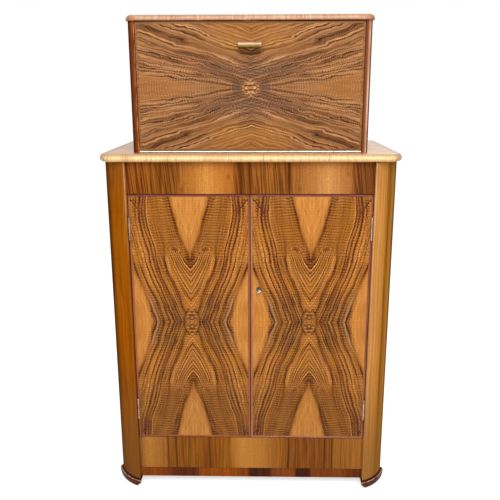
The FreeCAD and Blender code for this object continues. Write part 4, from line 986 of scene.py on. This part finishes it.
screwSet("backScrewSlots", "cabinet", "back", (0, 1, 0),
         [(side * x, y, z) for side in (-1, 1) for x, y, z in backRows])
screwSet("handleScrewSlots", "flap", "handle", (0, 1, 0), [(x, -156.1, 1227) for x in (-17, 17)])
print("screws set")


# softened arrises

softEdges = {
    0.7: [
        "left_side_panel", "right_side_panel", "upper_left_side", "upper_right_side", "lower_shelf",
        "upper_floor", "base_board", "shelf_bearers", "top_cleats", "door_stops", "rear_feet",
        "mirror_beading", "lower_back_panel", "upper_back_panel"],
    0.3: [
        "stay_brackets", "left_stay_bar", "right_stay_bar", "left_stay_guide", "right_stay_guide",
        "slide_housings", "lock_case", "lock_keep", "lock_bolt", "glass_shelf", "handle_bar"]}


def soften(edges):
    for width, names in edges.items():
        for name in names:
            weld = nodes[name].modifiers.new("join", "WELD")
            weld.merge_threshold = 0.00001
            bevel = nodes[name].modifiers.new("arris", "BEVEL")
            bevel.width = width / 1000
            bevel.segments = 2
            bevel.limit_method = "ANGLE"
            bevel.angle_limit = math.radians(40)
            bevel.use_clamp_overlap = True
    print("arrises softened")


soften(softEdges)


# floor and light

studio = {
    "floorSize": 30.0, "floor": (0.86, 0.86, 0.86, 1.0), "lift": 0.62, "white": (1.0, 1.0, 1.0, 1.0), "around": 0.49,
    "lamps": {
        "keyLamp": {"place": (0.25, -2.2, 2.4), "aim": (0.0, 0.0, 0.9), "size": (2.4, 1.8), "power": 56.0},
        "fillLamp": {"place": (-2.6, -1.6, 1.6), "aim": (0.0, 0.0, 0.7), "size": (1.4, 1.6), "power": 8.0},
        "backLamp": {"place": (0.6, 2.6, 2.4), "aim": (0.0, 0.0, 0.8), "size": (1.8, 1.4), "power": 14.0}}}


def seenByEye(graph):
    # 1 for what the eye meets, straight or by way of mirror and glass
    rays = [graph.node("LightPath", {}, {}, "Is %s Ray" % way) for way in ("Camera", "Glossy", "Transmission")]
    return rays[0].most(rays[1]).most(rays[2])


def setFloor(want):
    f = Finish("paleFloor")
    f.set(Base_Color=want["floor"], Roughness=0.9, Specular_IOR_Level=0.0)
    # the lit floor with its shadow, lifted to white for the eye
    lifted = f.node("Emission", {}, {"Color": want["white"], "Strength": want["lift"]})
    both = f.node("AddShader", {}, {0: f.surface, 1: lifted})
    f.close(f.node("MixShader", {}, {0: seenByEye(f), 1: f.surface, 2: both}))
    shape = bmesh.new()
    bmesh.ops.create_grid(shape, x_segments=1, y_segments=1, size=want["floorSize"])
    floor = addMesh("floor", shape, f.material)


def setWorld(want):
    world = bpy.data.worlds.new("studio")
    bpy.context.scene.world = world
    world.use_nodes = True
    graph = Graph(world.node_tree, "World")
    room, paper = [
        graph.node("Background", {}, {"Color": want["white"], "Strength": power}) for power in (want["around"], 1.0)]
    graph.close(graph.node("MixShader", {}, {0: seenByEye(graph), 1: room, 2: paper}))


def setLamp(name, place, aim, size, power):
    data = bpy.data.lights.new(name, "AREA")
    data.shape = "RECTANGLE"
    data.size, data.size_y = size
    data.energy = power
    lamp = addObject(name, data)
    lamp.location = place
    lamp.rotation_euler = (Vector(aim) - Vector(place)).to_track_quat("-Z", "Y").to_euler()


setFloor(studio)
setWorld(studio)
for name, lamp in studio["lamps"].items():
    setLamp(name, **lamp)
print("studio lit")
